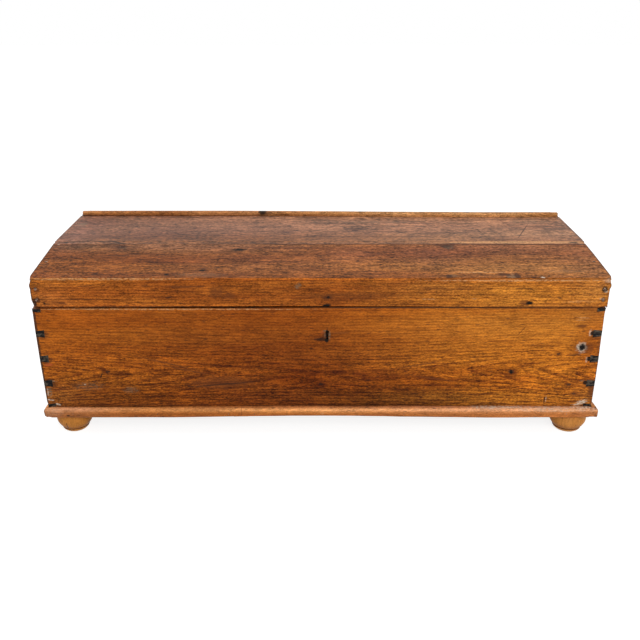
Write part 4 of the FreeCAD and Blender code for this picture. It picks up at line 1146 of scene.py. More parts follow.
# %% Tints of the rear board of the top
REAR_TINTS = {
    "sunned": [
        ("pale under the bead right", 300, 192, 380, 24, 0.4), ("right", 450, 50, 350, 120, 0.35),
    ],
    "browned": [
        ("left end", -600, 120, 70, 90, 0.5), ("left", -450, 40, 200, 50, 0.5),
    ],
    "toasted": [("warm along the seam", -100, 14, 550, 45, 1)],
    "honey": [("worn bevel right", 500, -7, 200, 12, 1)],
    "darkened": [
        ("middle", -200, 80, 280, 100, 0.45), ("left corner", -620, 150, 60, 70, 0.55),
        ("left by the joint", -640, 25, 50, 45, 0.5),
    ],
    "lifted": [("top right", 360, 160, 420, 70, 0.95)],
    "cooled": [("left end", -620, 20, 70, 60, 0.5)],
    "warmed": [("by the joint", -350, 10, 220, 35, 0.6)],
}
print("rear board tints", spots_in(REAR_TINTS))

# %% Marks on the rear board of the top
REAR_MARKS = {
    "grey": [
        ("grey rear right", 560, 165, 60, 18, 0.4), ("green middle", 100, 160, 160, 14, 0.35),
        ("patch left", -620, 132, 14, 16, 0.7),
    ],
    "pale": [
        ("pale under the wave", -560, -11, 60, 1.6, 0.3),
        ("worn bevel right pale", 500, -6, 200, 9.5, 0.9),
    ],
    "dark": [
        ("middle knot", 90.9, 87, 9, 6, 0.9), ("scratch left leg", 409, 84, 27, 1.6, 0.9, -80),
        ("scratch foot", 460, 12, 40, 4.5, 0.6, 2),
        ("scratch right leg", 522, 83.5, 76.6, 1.7, 0.9, 65),
        ("dirt at the joint", 100, -15.8, 560, 2.8, 0.7), ("long dark line", 150, 35, 160, 5, 0.5),
        # A painted shadow cast by the bead.
        ("dirt under the bead", -450, 207.5, 500, 3.4, 0.85),
        ("dirt under the bead right", 350, 208.5, 400, 2.2, 0.5),
        # Dark lines along both end edges.
        ("edge dirt", 649, 100, 1.8, 120, 0.6), ("edge dirt left", -649, 100, 1.8, 120, 0.5),
    ],
    "hole": [
        ("wavy joint left", -600, -5, 50, 3.6, 0.85, 3),
        ("wavy joint left top", -535, -2.5, 32, 3.4, 0.85, -3),
        ("wavy joint left down", -495, -8, 26, 3.6, 0.85, -24),
        ("hole at seam end", 622, -8, 12, 4.5, 0.9, -8),
    ],
}
print("rear board marks", spots_in(REAR_MARKS))

# %% Pine of the rear board of the top
rear_pine = pine(
    "lid_rear_pine", bend, RIGHT, up_rear, REAR_TONE,
    pith=(0.32, -0.07), seed=(8.1, 2.6, 0.8), taper=-0.006, roughness=0.06, wax=0.2, coarse=2.8,
    contrast=1.6, **top_look,
    low=(-lid_half, -OVER, -TOP_BOARD), high=(lid_half, 0.28, 0),
    knots=(("middle", 90.9, 87, 5.5), ("right rear", 570, 120, 4)),
    marks=REAR_TINTS | REAR_MARKS)
print("rear_pine", len(rear_pine.node_tree.nodes), "nodes")

# %% [markdown]
# ## The trim
# Mouldings, bead and feet stick out. The moulding's nose gets a painted highlight with some wear,
# and its toe, the bead's foot and the feet's grooves and tops get painted shade. A foot was turned
# from wood that stands upright, so its grain runs up: its first measure is the height, and the
# second goes across both feet of a pair.

# %% Marks on the moulding
MOULDING_MARKS = {
    # A darker strip along the top, against the chest.
    "browned": [("dirt against the chest", 0, 24.5, 1400, 3, 0.7)],
    # A painted highlight along the rounded nose, with some wear.
    "rubbed_and_highlit": [
        ("rubbed nose", 0, 17.6, 1400, 4.2, 0.9), ("rubbed nose right", 400, 20.5, 500, 9, 0.25),
    ],
    # Painted shade over the lower, down-turned part of the profile.
    "toasted": [("dirty toe", 0, 0, 1400, 13.5, 1)],
    "darkened": [
        ("left low", -450, 4, 320, 8, 0.3), ("left end", -610, 12, 80, 20, 0.55),
    ],
    "lifted": [
        ("right end", 530, 12, 180, 30, 1), ("middle", 100, 19, 300, 8, 0.5),
    ],
    "cooled": [
        ("left end", -580, 12, 100, 30, 0.9), ("right end", 640, 12, 50, 30, 1),
        ("right", 420, 12, 300, 30, 0.8),
    ],
    "warmed": [("left", -300, 10, 280, 20, 0.35)],
    "grey": [("grey rub", 400, 24.5, 50, 2, 0.6)],
    "pale": [("fleck", 5, 9.5, 4, 3, 0.8)],
    "bare": [
        ("worn left end", -640, 12, 30, 12, 0.15), ("pale right top", 560, 19.5, 110, 6, 0.4),
        ("pale rub", 430, 23.5, 80, 4, 0.5), ("pale right end", 620, 23.5, 30, 5, 0.55),
    ],
    "brown": [("joint", -187, 12.5, 1, 13, 0.6)],
    "dark": [("mitre", 654.5, 23.5, 7, 0.8, 0.8, -70)],
    "hole": [("nail stain", -600, 3.5, 4, 2.2, 0.9)],
}
print("moulding marks", spots_in(MOULDING_MARKS))

# %% Pine of the mouldings
mould_look = {"ring": 0.0045, "ring_share": 0.35, "streak_share": 0.4, "raw_inside": False,
              "end_dark": 0.7, "wax": 0.12, "contrast": 0.8}
moulding_pine = pine(
    "moulding_pine", (0, mould_low.y, mould_low.z), RIGHT, UP, MOULD_TONE,
    pith=(-0.03, -0.06), seed=(0.7, 4.4, 0.3), taper=0.004, wander=0.01, marks=MOULDING_MARKS,
    **mould_look)
side_moulding_pine = pine(
    "side_moulding_pine", (0, 0, mould_low.z), BACKWARD, UP, MOULD_TONE,
    pith=(-0.03, 0.5), seed=(2.7, 4.4, 0.3), **mould_look,
    # A painted highlight on the nose and painted shade on the toe.
    marks={"rubbed_and_highlit": [("rubbed nose", 0, 22, 1400, 11.5, 0.7)],
           "toasted": [("dirty toe", 0, 0, 1400, 12, 1)]})
print("moulding pines ready")

# %% Pine of the bead
BEAD_MARKS = {
    "browned": [
        # The bead's foot is darkened as painted shade.
        ("left", -400, 14, 350, 8, 0.65), ("dirty foot", -500, 0, 600, 5, 0.9),
    ],
    # Grey bloom and a painted sheen at the right.
    "bloom_and_sheen": [("right", 350, 10, 450, 30, 0.6)],
    "honey": [("light foot right", 400, 3, 350, 5, 0.25)],
    "darkened": [("right", 250, 10, 400, 20, 0.15)],
    "dark": [
        ("groove", 300, 8.5, 450, 1.2, 0.3), ("burn edge", -145, 8, 20, 5, 0.6),
    ],
    "hole": [("burn", -152, 9, 11, 8, 0.9)],
}
bead_pine = pine(
    "bead_pine", (0, bead_low.y, bead_low.z), RIGHT, UP, BEAD_TONE,
    pith=(-0.04, -0.05), seed=(6.2, 1.1, 0.9), ring=0.0034, wander=0.01, ring_share=0.4,
    streak_share=0.5, raw_inside=False, contrast=1.2, marks=BEAD_MARKS)
print("bead_pine", len(bead_pine.node_tree.nodes), "nodes")

# %% Pine of the feet and the bottom
FOOT_MARKS = {
    "browned": [("shaded foot", 13, 0, 7, 2000, 0.5)],
    "rubbed_and_highlit": [("rubbed pad", 2, 0, 8, 2000, 0.8)],
    "darkened": [("left foot", 30, -605, 50, 90, 0.15)],
    "lifted": [("right foot", 30, 605, 50, 90, 0.2)],
    "cooled": [("right foot", 30, 605, 50, 90, 0.5)],
    "brown": [
        # Painted shade in the turned groove, and a painted shadow under the chest on the foot's
        # top.
        ("dirt in the groove", 10, 0, 1.3, 2000, 0.95),
        ("dirt under the chest", 58, 0, 9, 2000, 0.7),
    ],
    "dark": [("crack", 24, -610, 13, 1.2, 0.8)],
}
foot_pine = pine(
    "foot_pine", (0, 0, 0), UP, RIGHT, FOOT_TONE,
    pith=(0.3, 0.25), seed=(0.2, 0.4, 2.9), ring=0.006, ring_share=0.22, streak_share=0.15,
    raw_inside=False, end_dark=0.0, wax=0.08, contrast=0.35, marks=FOOT_MARKS)
bottom_pine = pine(
    "bottom_pine", (0, 0, 0.075), RIGHT, BACKWARD, CASE_TONE,
    pith=(0.09, -0.1), seed=(5.2, 3.4, 1.9), ring=0.0048, raw=True)
print("foot and bottom pines ready")

# %% [markdown]
# ## Iron
# The hinges, lock and nails were forged, so their skin is brown-black scale with rust in the
# hollows and a dull shine where a hammer or a hand smoothed it. Two noises give the scale and the
# rust.

# %% Node group: forge scale
web, given, made = new_group(
    "forge_scale",
    [("Vector", "vector", (0, 0, 0)), ("Rust", "value", 0.5)],
    [("Colour", "colour"), ("Roughness", "value"), ("Relief", "value")])
blotch = web.noise(given["Vector"], 90.0, 4.0, 0.6)
pits = web.noise(given["Vector"], 420.0, 3.0, 0.6)
rusty = web.sum("MULTIPLY", web.grade(blotch, 0.45, 0.65), given["Rust"])
scale_tone = web.blend(pits, (0.035, 0.026, 0.021), (0.085, 0.06, 0.046))
web.feed(made["Colour"], web.blend(rusty, scale_tone, (0.11, 0.044, 0.018)))
web.feed(made["Roughness"], web.grade(rusty, 0.0, 1.0, 0.5, 0.85))
web.feed(made["Relief"], web.sum("MULTIPLY_ADD", pits, 0.6, web.sum("MULTIPLY", blotch, 0.4)))
print("forge_scale", len(web.tree.nodes), "nodes")

# %% Forged iron
# The colour of rubbed iron; on worn heads it also serves as a painted highlight.
RUBBED_IRON = (0.62, 0.37, 0.25)


def iron(name, rust, shine):
    """A material of forged iron; shine lightens worn heads, with wear and a painted highlight."""
    material, web = new_material(name)
    place = web.add("ShaderNodeTexCoord").outputs["Object"]
    skin = use_group(web, "forge_scale", Vector=place, Rust=rust)
    rubbed_and_highlit = web.grade(web.noise(place, 260.0), 0.45, 0.65, 0.0, shine)
    colour = web.blend(rubbed_and_highlit, skin["Colour"], RUBBED_IRON)
    coat(web, colour, skin["Roughness"], skin["Relief"], strength=0.4, depth=0.0004, gloss=0.15,
         metallic=0.1)
    return material


dark_iron = iron("dark_iron", 0.8, 0.1)
worn_iron = iron("worn_iron", 0.6, 0.9)
print("iron ready")

# %% [markdown]
# ## Boards with worn arrises
# The model's boards are exact blocks, and exact corners look new. Each board that shows is
# copied, its triangles are merged back into flat faces, its arrises are cut into short lengths
# and rounded, and then each length is worn by its own amount.

# %% Copy a board and cut its arrises into lengths
def clean_copy(node):
    """A merged bmesh of a node, with its flat faces whole again."""
    shape = bmesh.new()
    shape.from_mesh(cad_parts[node].data)
    bmesh.ops.remove_doubles(shape, verts=shape.verts, dist=1e-6)
    bmesh.ops.dissolve_limit(shape, angle_limit=math.radians(1), verts=shape.verts,
                             edges=shape.edges)
    return shape


def cut_across(shape, axis, places):
    """Cuts a shape through at places along one axis, without parting it."""
    normal = Vector([1.0 if i == axis else 0.0 for i in range(3)])
    for place in places:
        parts = shape.verts[:] + shape.edges[:] + shape.faces[:]
        bmesh.ops.bisect_plane(shape, geom=parts, plane_co=normal * place, plane_no=normal,
                               dist=1e-6)


def crease_edges(shape, shortest, sharp_at):
    """Edges between faces that meet at a corner, no shorter than given and not in a sharp place."""
    found = []
    for edge in shape.edges:
        if len(edge.link_faces) != 2 or edge.calc_length() < shortest:
            continue
        middle = (edge.verts[0].co + edge.verts[1].co) / 2
        if edge.calc_face_angle() > math.radians(25) and not sharp_at(middle):
            found.append(edge)
    return found


print("board tools ready")

# %% Wear the corners of a board
WEAR_REACH = 0.01
CORNER_WEAR = 1.2


def wear_corners(shape, low, high, depth, sharp_at):
    """Pulls the points near a block's arrises inwards, more in some places than in others."""
    for vert in shape.verts:
        if sharp_at(vert.co):
            continue
        gaps = []
        for axis in range(3):
            to_low = vert.co[axis] - low[axis]
            to_high = high[axis] - vert.co[axis]
            gaps.append((min(to_low, to_high), axis, 1 if to_low < to_high else -1))
        gaps.sort()
        if gaps[1][0] > WEAR_REACH:
            continue
        near = 1 - gaps[1][0] / WEAR_REACH
        small, broad = noise.noise(vert.co * 23.0), noise.noise(vert.co * 7.0 + Vector((9, 4, 2)))
        rough = 0.5 + 0.5 * small + 0.6 * broad
        if gaps[2][0] < WEAR_REACH * 1.5:
            rough += CORNER_WEAR
        amount = depth * near * max(0.0, rough)
        for _, axis, sign in gaps[:2]:
            vert.co[axis] += sign * amount


def knock_corner(shape, place, centre, radius, depth):
    """Rubs a corner round: points near a place move towards the board's middle."""
    for vert in shape.verts:
        away = (vert.co - Vector(place)).length
        if away < radius:
            vert.co += (centre - vert.co).normalized() * depth * (1 - away / radius)


print("wear ready")

# %% [markdown]
# ## A chest that no longer sits true
# In a century the joints of a chest ease and its boards warp. Here the left end leans out and the
# right one a little in, the front edge of the lid hangs towards both ends, the top has racked to
# the right at the back, and the moulding has bowed. Moving whole boards would open their joints.
# So a smooth rule says how far each point of the chest has moved, and every board is moved by it
# point by point, so that what touched before still touches. The nails follow the same rule, and
# the moulding has one of its own.

# %% How far the chest and the lid have moved
END_START, END_SPAN = 0.45, 0.17
LEFT_LEAN_FOOT, LEFT_LEAN_MORE, RIGHT_LEAN = 0.0015, 0.0045, 0.0022
LEFT_SAG, MIDDLE_CROWN = 0.0022, 0.0020
LID_RACK, FACET_RACK, LID_LEAN = 0.004, 0.005, 0.003
RAIL_LIFT, RAIL_DIP_LEFT, RAIL_DIP_RIGHT, REAR_DIP = 0.0006, 0.0028, 0.003, 0.004
chest_foot, chest_top = mould_high.z, front_high.z


def ease(value):
    """0 to 1 with soft ends."""
    share = min(1.0, max(0.0, value))
    return share * share * (3 - 2 * share)


def rise(value, start, span):
    """0 up to start, then to 1 within the span."""
    return ease((value - start) / span)


def fall(value, end, span):
    """1 until a span before the end, then to 0 at the end."""
    return ease((end - value) / span)


def settle_chest(point):
    """How far a point of the chest has moved: it leans left, and its front sags at the left."""
    height_share = min(1.0, max(0.0, (point.z - chest_foot) / (chest_top - chest_foot)))
    lean = -(LEFT_LEAN_FOOT + LEFT_LEAN_MORE * height_share) * fall(point.x, -END_START, END_SPAN)
    right_share = rise(height_share, 0.45, 0.25) * fall(height_share, 1.05, 0.15)
    lean -= RIGHT_LEAN * rise(point.x, END_START, END_SPAN) * right_share
    drop = -LEFT_SAG * fall(point.x, -0.1, 0.4)
    if point.y < 0:
        drop += MIDDLE_CROWN * rise(point.x, -0.05, 0.18) * fall(point.x, 0.44, 0.14)
    return Vector((lean, 0, drop * height_share ** 3))


def settle_lid(point):
    """How far a point of the lid has moved: racked right at the back, hanging at the front."""
    far_share = rise(point.y, 0.18, 0.015)
    facet_share = rise(point.x, END_START, END_SPAN) * rise(point.y, bend.y, 0.08) * (1 - far_share)
    lean = (LID_RACK * far_share + FACET_RACK * facet_share) * rise(point.z, bend.z - 0.018, 0.02)
    if point.z < arris.z:
        below = min(1.0, (arris.z - point.z) / 0.04)
        lean = -LID_LEAN * fall(point.x, -END_START, END_SPAN) * below
    if point.z < rail_low.z + 0.003 and point.y < rail_high.y + 0.001:
        drop = RAIL_LIFT - RAIL_DIP_LEFT * fall(point.x, -0.1, 0.4)
        drop -= RAIL_DIP_RIGHT * rise(point.x, 0.22, 0.25)
    else:
        height_share = min(1.0, (point.z - rail_low.z) / 0.1)
        drop = -REAR_DIP * rise(point.x, -0.3, 0.8) * rise(point.y, bend.y, 0.2) * height_share
    return Vector((lean, 0, drop))


def settle(body, point):
    """How far a point of the old chest or of its lid has moved."""
    return settle_chest(point) if body == "chest" else settle_lid(point)


top_left = Vector((left_low.x, front_low.y, chest_top))
print("the chest's top left has moved", tuple(round(v, 4) for v in settle("chest", top_left)))

# %% How far the base moulding has moved
MOULD_BOW_HALF = 0.42
TOP_LOW, TOP_BOW, TOP_SWELL = -0.0012, 0.0028, 0.0024
FOOT_LOW, FOOT_BOW = -0.0033, 0.005
SHIFT_LEFT, SHIFT_RIGHT = 0.0012, 0.0035


def swell(body, point):
    """How far a point of the base moulding has moved: it has swollen, and bows up in its middle."""
    height_share = min(1.0, max(0.0, (point.z - mould_low.z) / (mould_high.z - mould_low.z)))
    bow = 1 - ease(abs(point.x + 0.02) / MOULD_BOW_HALF)
    top_rise = TOP_LOW + TOP_BOW * bow + TOP_SWELL * rise(point.x, 0, 0.3)
    foot_rise = FOOT_LOW + FOOT_BOW * bow
    shift = SHIFT_LEFT * (point.x < left_low.x) + SHIFT_RIGHT * rise(point.x, right_high.x, 0.008)
    return Vector((shift, 0, foot_rise + (top_rise - foot_rise) * height_share))


print("the moulding's middle has risen", round(swell("chest", Vector((0, 0, mould_low.z))).z, 4))

# %% [markdown]
# ## From a block to an old board
# One helper takes a node through all of it: copy, cut, round, wear, knock, settle. It cuts close
# to the arrises too, so that only a narrow strip moves there. Places that have to stay sharp,
# such as a glue line, are left out by a test that the caller gives. A face may also get another
# board's pine.

# %% Make a worn board
NEAR_CUTS = (0.004, 0.009, 0.015)
THICKEST_UNCUT = 0.04
SHORTEST_CREASE = 0.0035


def finish_piece(name, shape, material, smooth_angle=32):
    """Turns a bmesh into an object at the origin, shaded smooth except at its creases."""
    mesh = bpy.data.meshes.new(name)
    shape.normal_update()
    shape.to_mesh(mesh)
    shape.free()
    mesh.materials.append(material)
    piece = bpy.data.objects.new(name, mesh)
    scene.collection.objects.link(piece)
    for polygon in mesh.polygons:
        polygon.use_smooth = True
    mesh.set_sharp_from_angle(angle=math.radians(smooth_angle))
    return piece


def worn_board(node, material, body, slot, rounding=0.0012, depth=0.0008, step=0.02,
               sharp_at=lambda point: False, knocks=(), faces=(), joints=(), moved=settle):
    """Replaces a board's node with a copy that has rounded, unevenly worn arrises."""
    low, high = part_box(node)
    size = high - low
    shape = clean_copy(node)
    long_axis = max(range(3), key=lambda axis: size[axis])
    count = int(size[long_axis] / step)
    cut_across(shape, long_axis,
               [low[long_axis] + size[long_axis] * i / count for i in range(1, count)])
    for axis in range(3):
        near = NEAR_CUTS if size[axis] > THICKEST_UNCUT else ()
        cut_across(shape, axis,
                   [low[axis] + gap for gap in near] + [high[axis] - gap for gap in near])
    cut_across(shape, 1, joints)
    shape.normal_update()
    edges = crease_edges(shape, SHORTEST_CREASE, sharp_at)
    bmesh.ops.bevel(shape, geom=edges, offset=rounding, offset_type="OFFSET", segments=2,
                    profile=0.6, affect="EDGES", clamp_overlap=True)
    wear_corners(shape, low, high, depth, sharp_at)
    for place, radius, amount in knocks:
        knock_corner(shape, place, (low + high) / 2, radius, amount)
    for vert in shape.verts:
        vert.co += moved(body, vert.co)
    piece = finish_piece(node + "_worn", shape, material)
    for other_pine, belongs in faces:
        piece.data.materials.append(other_pine)
        for polygon in piece.data.polygons:
            if belongs(polygon):
                polygon.material_index = len(piece.data.materials) - 1
    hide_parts(node)
    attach(piece, body)
    print(piece.name, len(piece.data.polygons), "faces")
    return piece


print("worn boards ready")

# %% Make the boards of the chest
worn_board("front_board", front_pine, "chest", "case_pine")
worn_board("back_board", back_pine, "chest", "raw_pine")
worn_board("left_end_board", left_end_pine, "chest", "case_pine")
worn_board("right_end_board", right_end_pine, "chest", "case_pine")
for board in ("bottom_board_front", "bottom_board_middle", "bottom_board_back"):
    worn_board(board, bottom_pine, "chest", "raw_pine", rounding=0.0006, depth=0.0003, step=0.08)

# %% [markdown]
# ## The lid's glue line and bend
# The top board's edge and the rail were planed together, so the joint between them stays sharp
# and the eye reads them as one board: the edge gets the rail's pine. Behind, the glue line of the
# two top boards shows a finger's width in front of the bend, so a strip of the front board there
# gets the rear one's pine. The lid's lower left corner and the ends of its arris are knocked
# round.

# %% Say where the lid stays sharp
def at_glue_line(point):
    """True near the joint between the top board's edge and the rail."""
    return abs(point.z - top_low.z - 0.001) < 0.006 and point.y < rail_low.y + 0.03


def at_bend(point):
    """True near the line where the two top boards meet."""
    return abs(point.y - bend.y) < 0.004 and point.z > bend.z - 0.004


def near_joint(point):
    """True where the front top board must stay sharp: at its glue line and at the bend."""
    return at_glue_line(point) or at_bend(point)


BEVEL_WIDTH = 0.0163
bevel_foot = bend.y - BEVEL_WIDTH
print("top boards' glue line at", round(bevel_foot, 4))

# %% Make the boards of the lid
lid_corner = (tuple(rail_low), 0.017, 0.005)
arris_ends = tuple(((x, arris.y, arris.z), 0.012, 0.0025) for x in (top_low.x, top_high.x))
worn_board("lid_front_rail", rail_pine, "lid", "case_pine", sharp_at=at_glue_line,
           knocks=(lid_corner,))
worn_board("lid_back_rail", back_rail_pine, "lid", "case_pine")
worn_board("lid_left_end", lid_left_pine, "lid", "case_pine", knocks=(lid_corner,))
worn_board("lid_right_end", lid_right_pine, "lid", "case_pine")
worn_board("lid_top_front_board", top_pine, "lid", "top_pine", sharp_at=near_joint,
           joints=(bevel_foot,), knocks=arris_ends,
           faces=((rail_pine, lambda face: face.normal.y < -0.7),
                  (rear_pine, lambda face: face.normal.z > 0.7 and face.center.y > bevel_foot)))
worn_board("lid_top_rear_board", rear_pine, "lid", "top_pine", sharp_at=at_bend)
worn_board("lid_back_bead", bead_pine, "lid", "moulding_pine", rounding=0.0004, depth=0.0006)

# %% Make the base moulding
mould_joint = corners("base_moulding_front_left")[1].x
corner_height = mould_low.z + 0.004


def at_moulding_joint(point):
    """True near the butt joint between the two lengths of the front moulding."""
    return abs(point.x - mould_joint) < 0.02


mould_wear = {"rounding": 0.0004, "moved": swell,
              "knocks": (((mould_low.x, mould_low.y, corner_height), 0.02, 0.006),
                         ((mould_high.x, mould_low.y, corner_height), 0.014, 0.0015))}
for board in ("base_moulding_front_left", "base_moulding_front_right"):
    worn_board(board, moulding_pine, "chest", "moulding_pine", sharp_at=at_moulding_joint,
               **mould_wear)
for board in ("base_moulding_left", "base_moulding_right"):
    worn_board(board, side_moulding_pine, "chest", "moulding_pine", **mould_wear)

# %% [markdown]
# ## Turned feet
# A bun foot comes off a lathe, so it is made the same way: half its outline is turned round its
# axis. The outline is the model's, with more points so that the light runs over it without steps,
# and a groove near the pad where the turner cut a line. The spigot above it is hidden in the
# bottom board.

# %% Draw the outline of a foot
PAD, PAD_SIDE, GROOVE_HEIGHT = 0.024, 0.0004, 0.0112
BUN_FOOT, BELLY, BELLY_HEIGHT = 0.0312, 0.042, 0.034
NECK_DRAW, SPIGOT = 0.006, 0.011
foot_top = corners("bottom_board_front")[0].z
spigot_top = corners("front_feet")[1].z - 0.0005


def foot_profile():
    """Points (radius, height) up a foot, closed at both poles."""
    points = [(0.0, 0.0), (0.0225, 0.0), (PAD, PAD_SIDE)]
    for share in (i / 6 for i in range(1, 7)):
        points.append((PAD + 0.007 * share + 0.0014 * math.sin(math.pi * share),
                       PAD_SIDE + 0.0086 * share))
    points += [(0.0292, 0.0094), (0.0288, 0.0102), (BUN_FOOT, GROOVE_HEIGHT)]
    for share in (i / 12 for i in range(1, 13)):
        swollen = math.sin(share * math.pi / 2) ** 0.92
        points.append((BUN_FOOT + (BELLY - BUN_FOOT) * swollen,
                       GROOVE_HEIGHT + (BELLY_HEIGHT - GROOVE_HEIGHT) * share))
    for share in (i / 8 for i in range(1, 9)):
        points.append((BELLY - NECK_DRAW * (1 - math.cos(share * math.pi / 2)),
                       BELLY_HEIGHT + (foot_top - BELLY_HEIGHT) * share))
    return points + [(SPIGOT, foot_top), (SPIGOT, spigot_top), (0.0, spigot_top)]


print("foot outline", len(foot_profile()), "points")

# %% Turn the feet
FOOT_STEPS = 56
OUT_OF_ROUND = 0.004
PUSHED_RIGHT, FAT_LEFT, FAT_RIGHT = 0.004, 0.04, 0.12


def turned_ring(shape, cx, cy, radius, height, turn):
    """One ring of points round a foot's axis, a little out of round, or a single pole."""
    if radius == 0.0:
        return [shape.verts.new((cx, cy, height))]
    ring = []
    for i in range(FOOT_STEPS):
        angle = 2 * math.pi * i / FOOT_STEPS
        reach = radius * (1 + OUT_OF_ROUND * math.sin(2 * angle + turn))
        x, y = cx + reach * math.cos(angle), cy + reach * math.sin(angle)
        ring.append(shape.verts.new((x, y, height)))
    return ring


def join_rings(shape, lower, upper):
    """Faces between two rings, of which one may be a pole."""
    for i in range(FOOT_STEPS):
        j = (i + 1) % FOOT_STEPS
        if len(lower) == 1:
            shape.faces.new((lower[0], upper[j], upper[i]))
        elif len(upper) == 1:
            shape.faces.new((lower[i], lower[j], upper[0]))
        else:
            shape.faces.new((lower[i], lower[j], upper[j], upper[i]))


def turn_feet(node, feet):
    """Both feet of a node as one piece. Feet are (x, y, how far pushed right, how fat below)."""
    shape = bmesh.new()
    for cx, cy, pushed, fat in feet:
        rings = []
        for radius, height in foot_profile():
            hidden = height > foot_top or (height == foot_top and radius < 0.02)
            if not hidden:
                radius *= 1 + fat * (1 - height / foot_top)
            centre_x = cx if hidden else cx + pushed
            rings.append(turned_ring(shape, centre_x, cy, radius, height, cx * 9))
        for lower, upper in zip(rings, rings[1:]):
            join_rings(shape, lower, upper)
    piece = finish_piece(node + "_turned", shape, foot_pine, 40)
    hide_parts(node)
    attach(piece, "chest")
    print(piece.name, len(piece.data.polygons), "faces")
    return piece


for node, pushed in (("front_feet", PUSHED_RIGHT), ("back_feet", 0.0)):
    low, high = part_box(node)
    inset = (high.y - low.y) / 2
    middle = (low.y + high.y) / 2
    turn_feet(node, ((low.x + inset, middle, pushed, FAT_LEFT),
                     (high.x - inset, middle, pushed, FAT_RIGHT)))

# %% [markdown]
# ## Nail heads
# Every nail was made by hand, so no two heads are alike, but all follow one rule: a low faceted
# head on a square shank. That is work for Geometry Nodes. Each nail of the model gives one point
# and a direction; the tree puts a head there, turned and sized a little by chance from a fixed
# seed.

# %% Part a mesh into its separate solids
def islands(shape):
    """The points of each separate solid in a bmesh, always in the same order."""
    seen, found = set(), []
    for first in shape.verts:
        if first in seen:
            continue
        seen.add(first)
        stack, island = [first], []
        while stack:
            vert = stack.pop()
            island.append(tuple(vert.co))
            for edge in vert.link_edges:
                other = edge.other_vert(vert)
                if other not in seen:
                    seen.add(other)
                    stack.append(other)
        found.append(numpy.array(island))
    return found


print("islands ready")

# %% Find where the nails are
HEAD_TO_SPREAD = 1.4


def nail_points(node):
    """Top of the head, outward direction, head width and length of each nail in a node."""
    shape = bmesh.new()
    shape.from_mesh(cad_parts[node].data)
    bmesh.ops.remove_doubles(shape, verts=shape.verts, dist=1e-6)
    found = []
    for points in islands(shape):
        middle = (points.max(0) + points.min(0)) / 2
        _, axes = numpy.linalg.eigh(numpy.cov((points - points.mean(0)).T))
        axis = axes[:, 2]
        along = (points - middle) @ axis
        off_axis = (points - middle) - numpy.outer(along, axis)
        spread = numpy.linalg.norm(off_axis, axis=1)
        if spread[along > 0].max() < spread[along < 0].max():
            axis, along = -axis, -along
        top = points[along > along.max() - 1e-4].mean(0)
        found.append((Vector(top), Vector(axis), HEAD_TO_SPREAD * spread.max(),
                      along.max() - along.min()))
    shape.free()
    return found


print("nail finder ready")

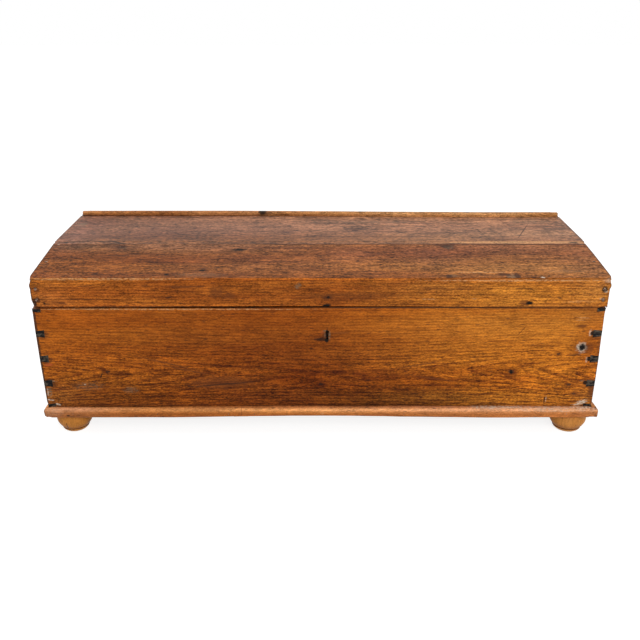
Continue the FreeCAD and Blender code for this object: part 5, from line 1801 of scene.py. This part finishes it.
# %% Geometry Nodes tree: forged nails on points
def forged_nail_tree(material):
    """Points with an outward direction in, a mesh of nails out."""
    tree = bpy.data.node_groups.new("forged_nails", "GeometryNodeTree")
    tree.interface.new_socket("Points", in_out="INPUT", socket_type="NodeSocketGeometry")
    for label, value in (("Head Width", 0.008), ("Head Height", 0.0014), ("Shank Width", 0.003),
                         ("Shank Length", 0.04)):
        socket = tree.interface.new_socket(label, in_out="INPUT", socket_type="NodeSocketFloat")
        socket.default_value = value
    seed = tree.interface.new_socket("Seed", in_out="INPUT", socket_type="NodeSocketInt")
    seed.default_value = 1
    tree.interface.new_socket("Nails", in_out="OUTPUT", socket_type="NodeSocketGeometry")
    web = Web(tree)
    given = tree.nodes.new("NodeGroupInput").outputs
    result = tree.nodes.new("NodeGroupOutput").inputs
    half = web.sum("MULTIPLY", given["Head Width"], 0.5)
    crown = web.sum("MULTIPLY", given["Head Width"], 0.24)
    head = web.add("GeometryNodeMeshCone",
                   {"Vertices": 8, "Radius Top": crown, "Radius Bottom": half,
                    "Depth": given["Head Height"]}, fill_type="NGON")
    head_drop = web.sum("MULTIPLY", given["Head Height"], -1.0)
    head_move = web.add("ShaderNodeCombineXYZ", {2: head_drop}).outputs[0]
    head_placed = web.add("GeometryNodeTransform", {"Geometry": head.outputs["Mesh"],
                                                    "Translation": head_move})
    shank_half = web.sum("MULTIPLY", given["Shank Width"], 0.5)
    shank = web.add("GeometryNodeMeshCone",
                    {"Vertices": 4, "Radius Top": shank_half,
                     "Radius Bottom": web.sum("MULTIPLY", shank_half, 0.6),
                     "Depth": given["Shank Length"]}, fill_type="NGON")
    drop = web.sum("MULTIPLY", web.sum("ADD", given["Shank Length"], given["Head Height"]), -1.0)
    shank_move = web.add("ShaderNodeCombineXYZ", {2: drop}).outputs[0]
    shank_placed = web.add("GeometryNodeTransform", {"Geometry": shank.outputs["Mesh"],
                                                     "Translation": shank_move})
    both = tree.nodes.new("GeometryNodeJoinGeometry")
    tree.links.new(head_placed.outputs[0], both.inputs[0])
    tree.links.new(shank_placed.outputs[0], both.inputs[0])
    out = web.add("GeometryNodeInputNamedAttribute", data_type="FLOAT_VECTOR")
    out.inputs["Name"].default_value = "out"
    facing = web.add("FunctionNodeAlignRotationToVector", {"Vector": out.outputs["Attribute"]},
                     axis="Z")
    spin_kick = web.add("FunctionNodeRandomValue",
                        {"Min": (0, 0, -0.6), "Max": (0, 0, 0.6), "Seed": given["Seed"]},
                        data_type="FLOAT_VECTOR")
    turn = web.add("FunctionNodeEulerToRotation", {0: spin_kick.outputs[0]})
    rotated = web.add("FunctionNodeRotateRotation",
                      {"Rotation": facing.outputs[0], "Rotate By": turn.outputs[0]},
                      rotation_space="LOCAL")
    size_kick = web.add("FunctionNodeRandomValue",
                        {"Min": (0.82, 0.82, 0.9), "Max": (1.12, 1.12, 1.0),
                         "Seed": given["Seed"]},
                        data_type="FLOAT_VECTOR")
    dots = web.add("GeometryNodeMeshToPoints", {"Mesh": given["Points"]})
    placed = web.add("GeometryNodeInstanceOnPoints",
                     {"Points": dots.outputs[0], "Instance": both.outputs[0],
                      "Rotation": rotated.outputs[0], "Scale": size_kick.outputs[0]})
    real = web.add("GeometryNodeRealizeInstances", {"Geometry": placed.outputs[0]})
    painted = web.add("GeometryNodeSetMaterial", {"Geometry": real.outputs[0]})
    painted.inputs["Material"].default_value = material
    tree.links.new(painted.outputs[0], result["Nails"])
    return tree


nail_tree = forged_nail_tree(worn_iron)
print("forged_nails", len(nail_tree.nodes), "nodes")

# %% Drive the nails
PROUD = 0.0002
SHANK_TO_HEAD = 0.38
HEAD_HEIGHT = 0.0014


def drive_nails(node, body, seed):
    """Replaces a node of nails with hand-forged ones at the same points."""
    found = nail_points(node)
    tops = [tuple(top + out * PROUD + settle(body, top)) for top, out, *_ in found]
    mesh = bpy.data.meshes.new(node + "_points")
    mesh.from_pydata(tops, [], [])
    outward = mesh.attributes.new("out", "FLOAT_VECTOR", "POINT")
    for i, nail in enumerate(found):
        outward.data[i].vector = nail[1]
    source = bpy.data.objects.new(node + "_points", mesh)
    scene.collection.objects.link(source)
    modifier = source.modifiers.new("nails", "NODES")
    modifier.node_group = nail_tree
    sockets = {item.name: item.identifier for item in nail_tree.interface.items_tree
               if item.in_out == "INPUT"}
    width = sum(nail[2] for nail in found) / len(found)
    modifier[sockets["Head Width"]] = width
    modifier[sockets["Shank Width"]] = width * SHANK_TO_HEAD
    modifier[sockets["Shank Length"]] = min(nail[3] for nail in found) - HEAD_HEIGHT
    modifier[sockets["Seed"]] = seed
    bpy.context.view_layer.update()
    ready = source.evaluated_get(bpy.context.evaluated_depsgraph_get())
    nails = bpy.data.meshes.new_from_object(ready)
    if "out" in nails.attributes:
        nails.attributes.remove(nails.attributes["out"])
    source.modifiers.remove(modifier)
    bpy.data.objects.remove(source)
    piece = bpy.data.objects.new(node + "_forged", nails)
    scene.collection.objects.link(piece)
    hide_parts(node)
    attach(piece, body)
    print(piece.name, len(found), "nails", "head", round(width * 1000, 1), "mm")
    return piece


CHEST_NAILS = ("bottom_nails", "base_moulding_nails", "hinge_nails_chest", "lock_nails")
LID_NAILS = ("lid_top_nails", "lid_rail_nails", "lid_bead_nails", "hinge_nails_lid",
             "lock_keeper_nails")
for body, rows, first_seed in (("chest", CHEST_NAILS, 1), ("lid", LID_NAILS, 11)):
    for seed, node in enumerate(rows, first_seed):
        drive_nails(node, body, seed)

# %% [markdown]
# ## Hinges and lock
# The ironwork keeps the model's own meshes, since a hinge must run on its pin and a bolt in its
# case. It only needs its skin.

# %% Give the ironwork its skin
IRON_NAMES = ("hinge_lower", "hinge_upper", "hinge_pin", "lock_")
for name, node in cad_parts.items():
    if name.startswith(IRON_NAMES) and not name.endswith("nails"):
        node.data.materials.clear()
        node.data.materials.append(dark_iron)
print("iron nodes dressed")
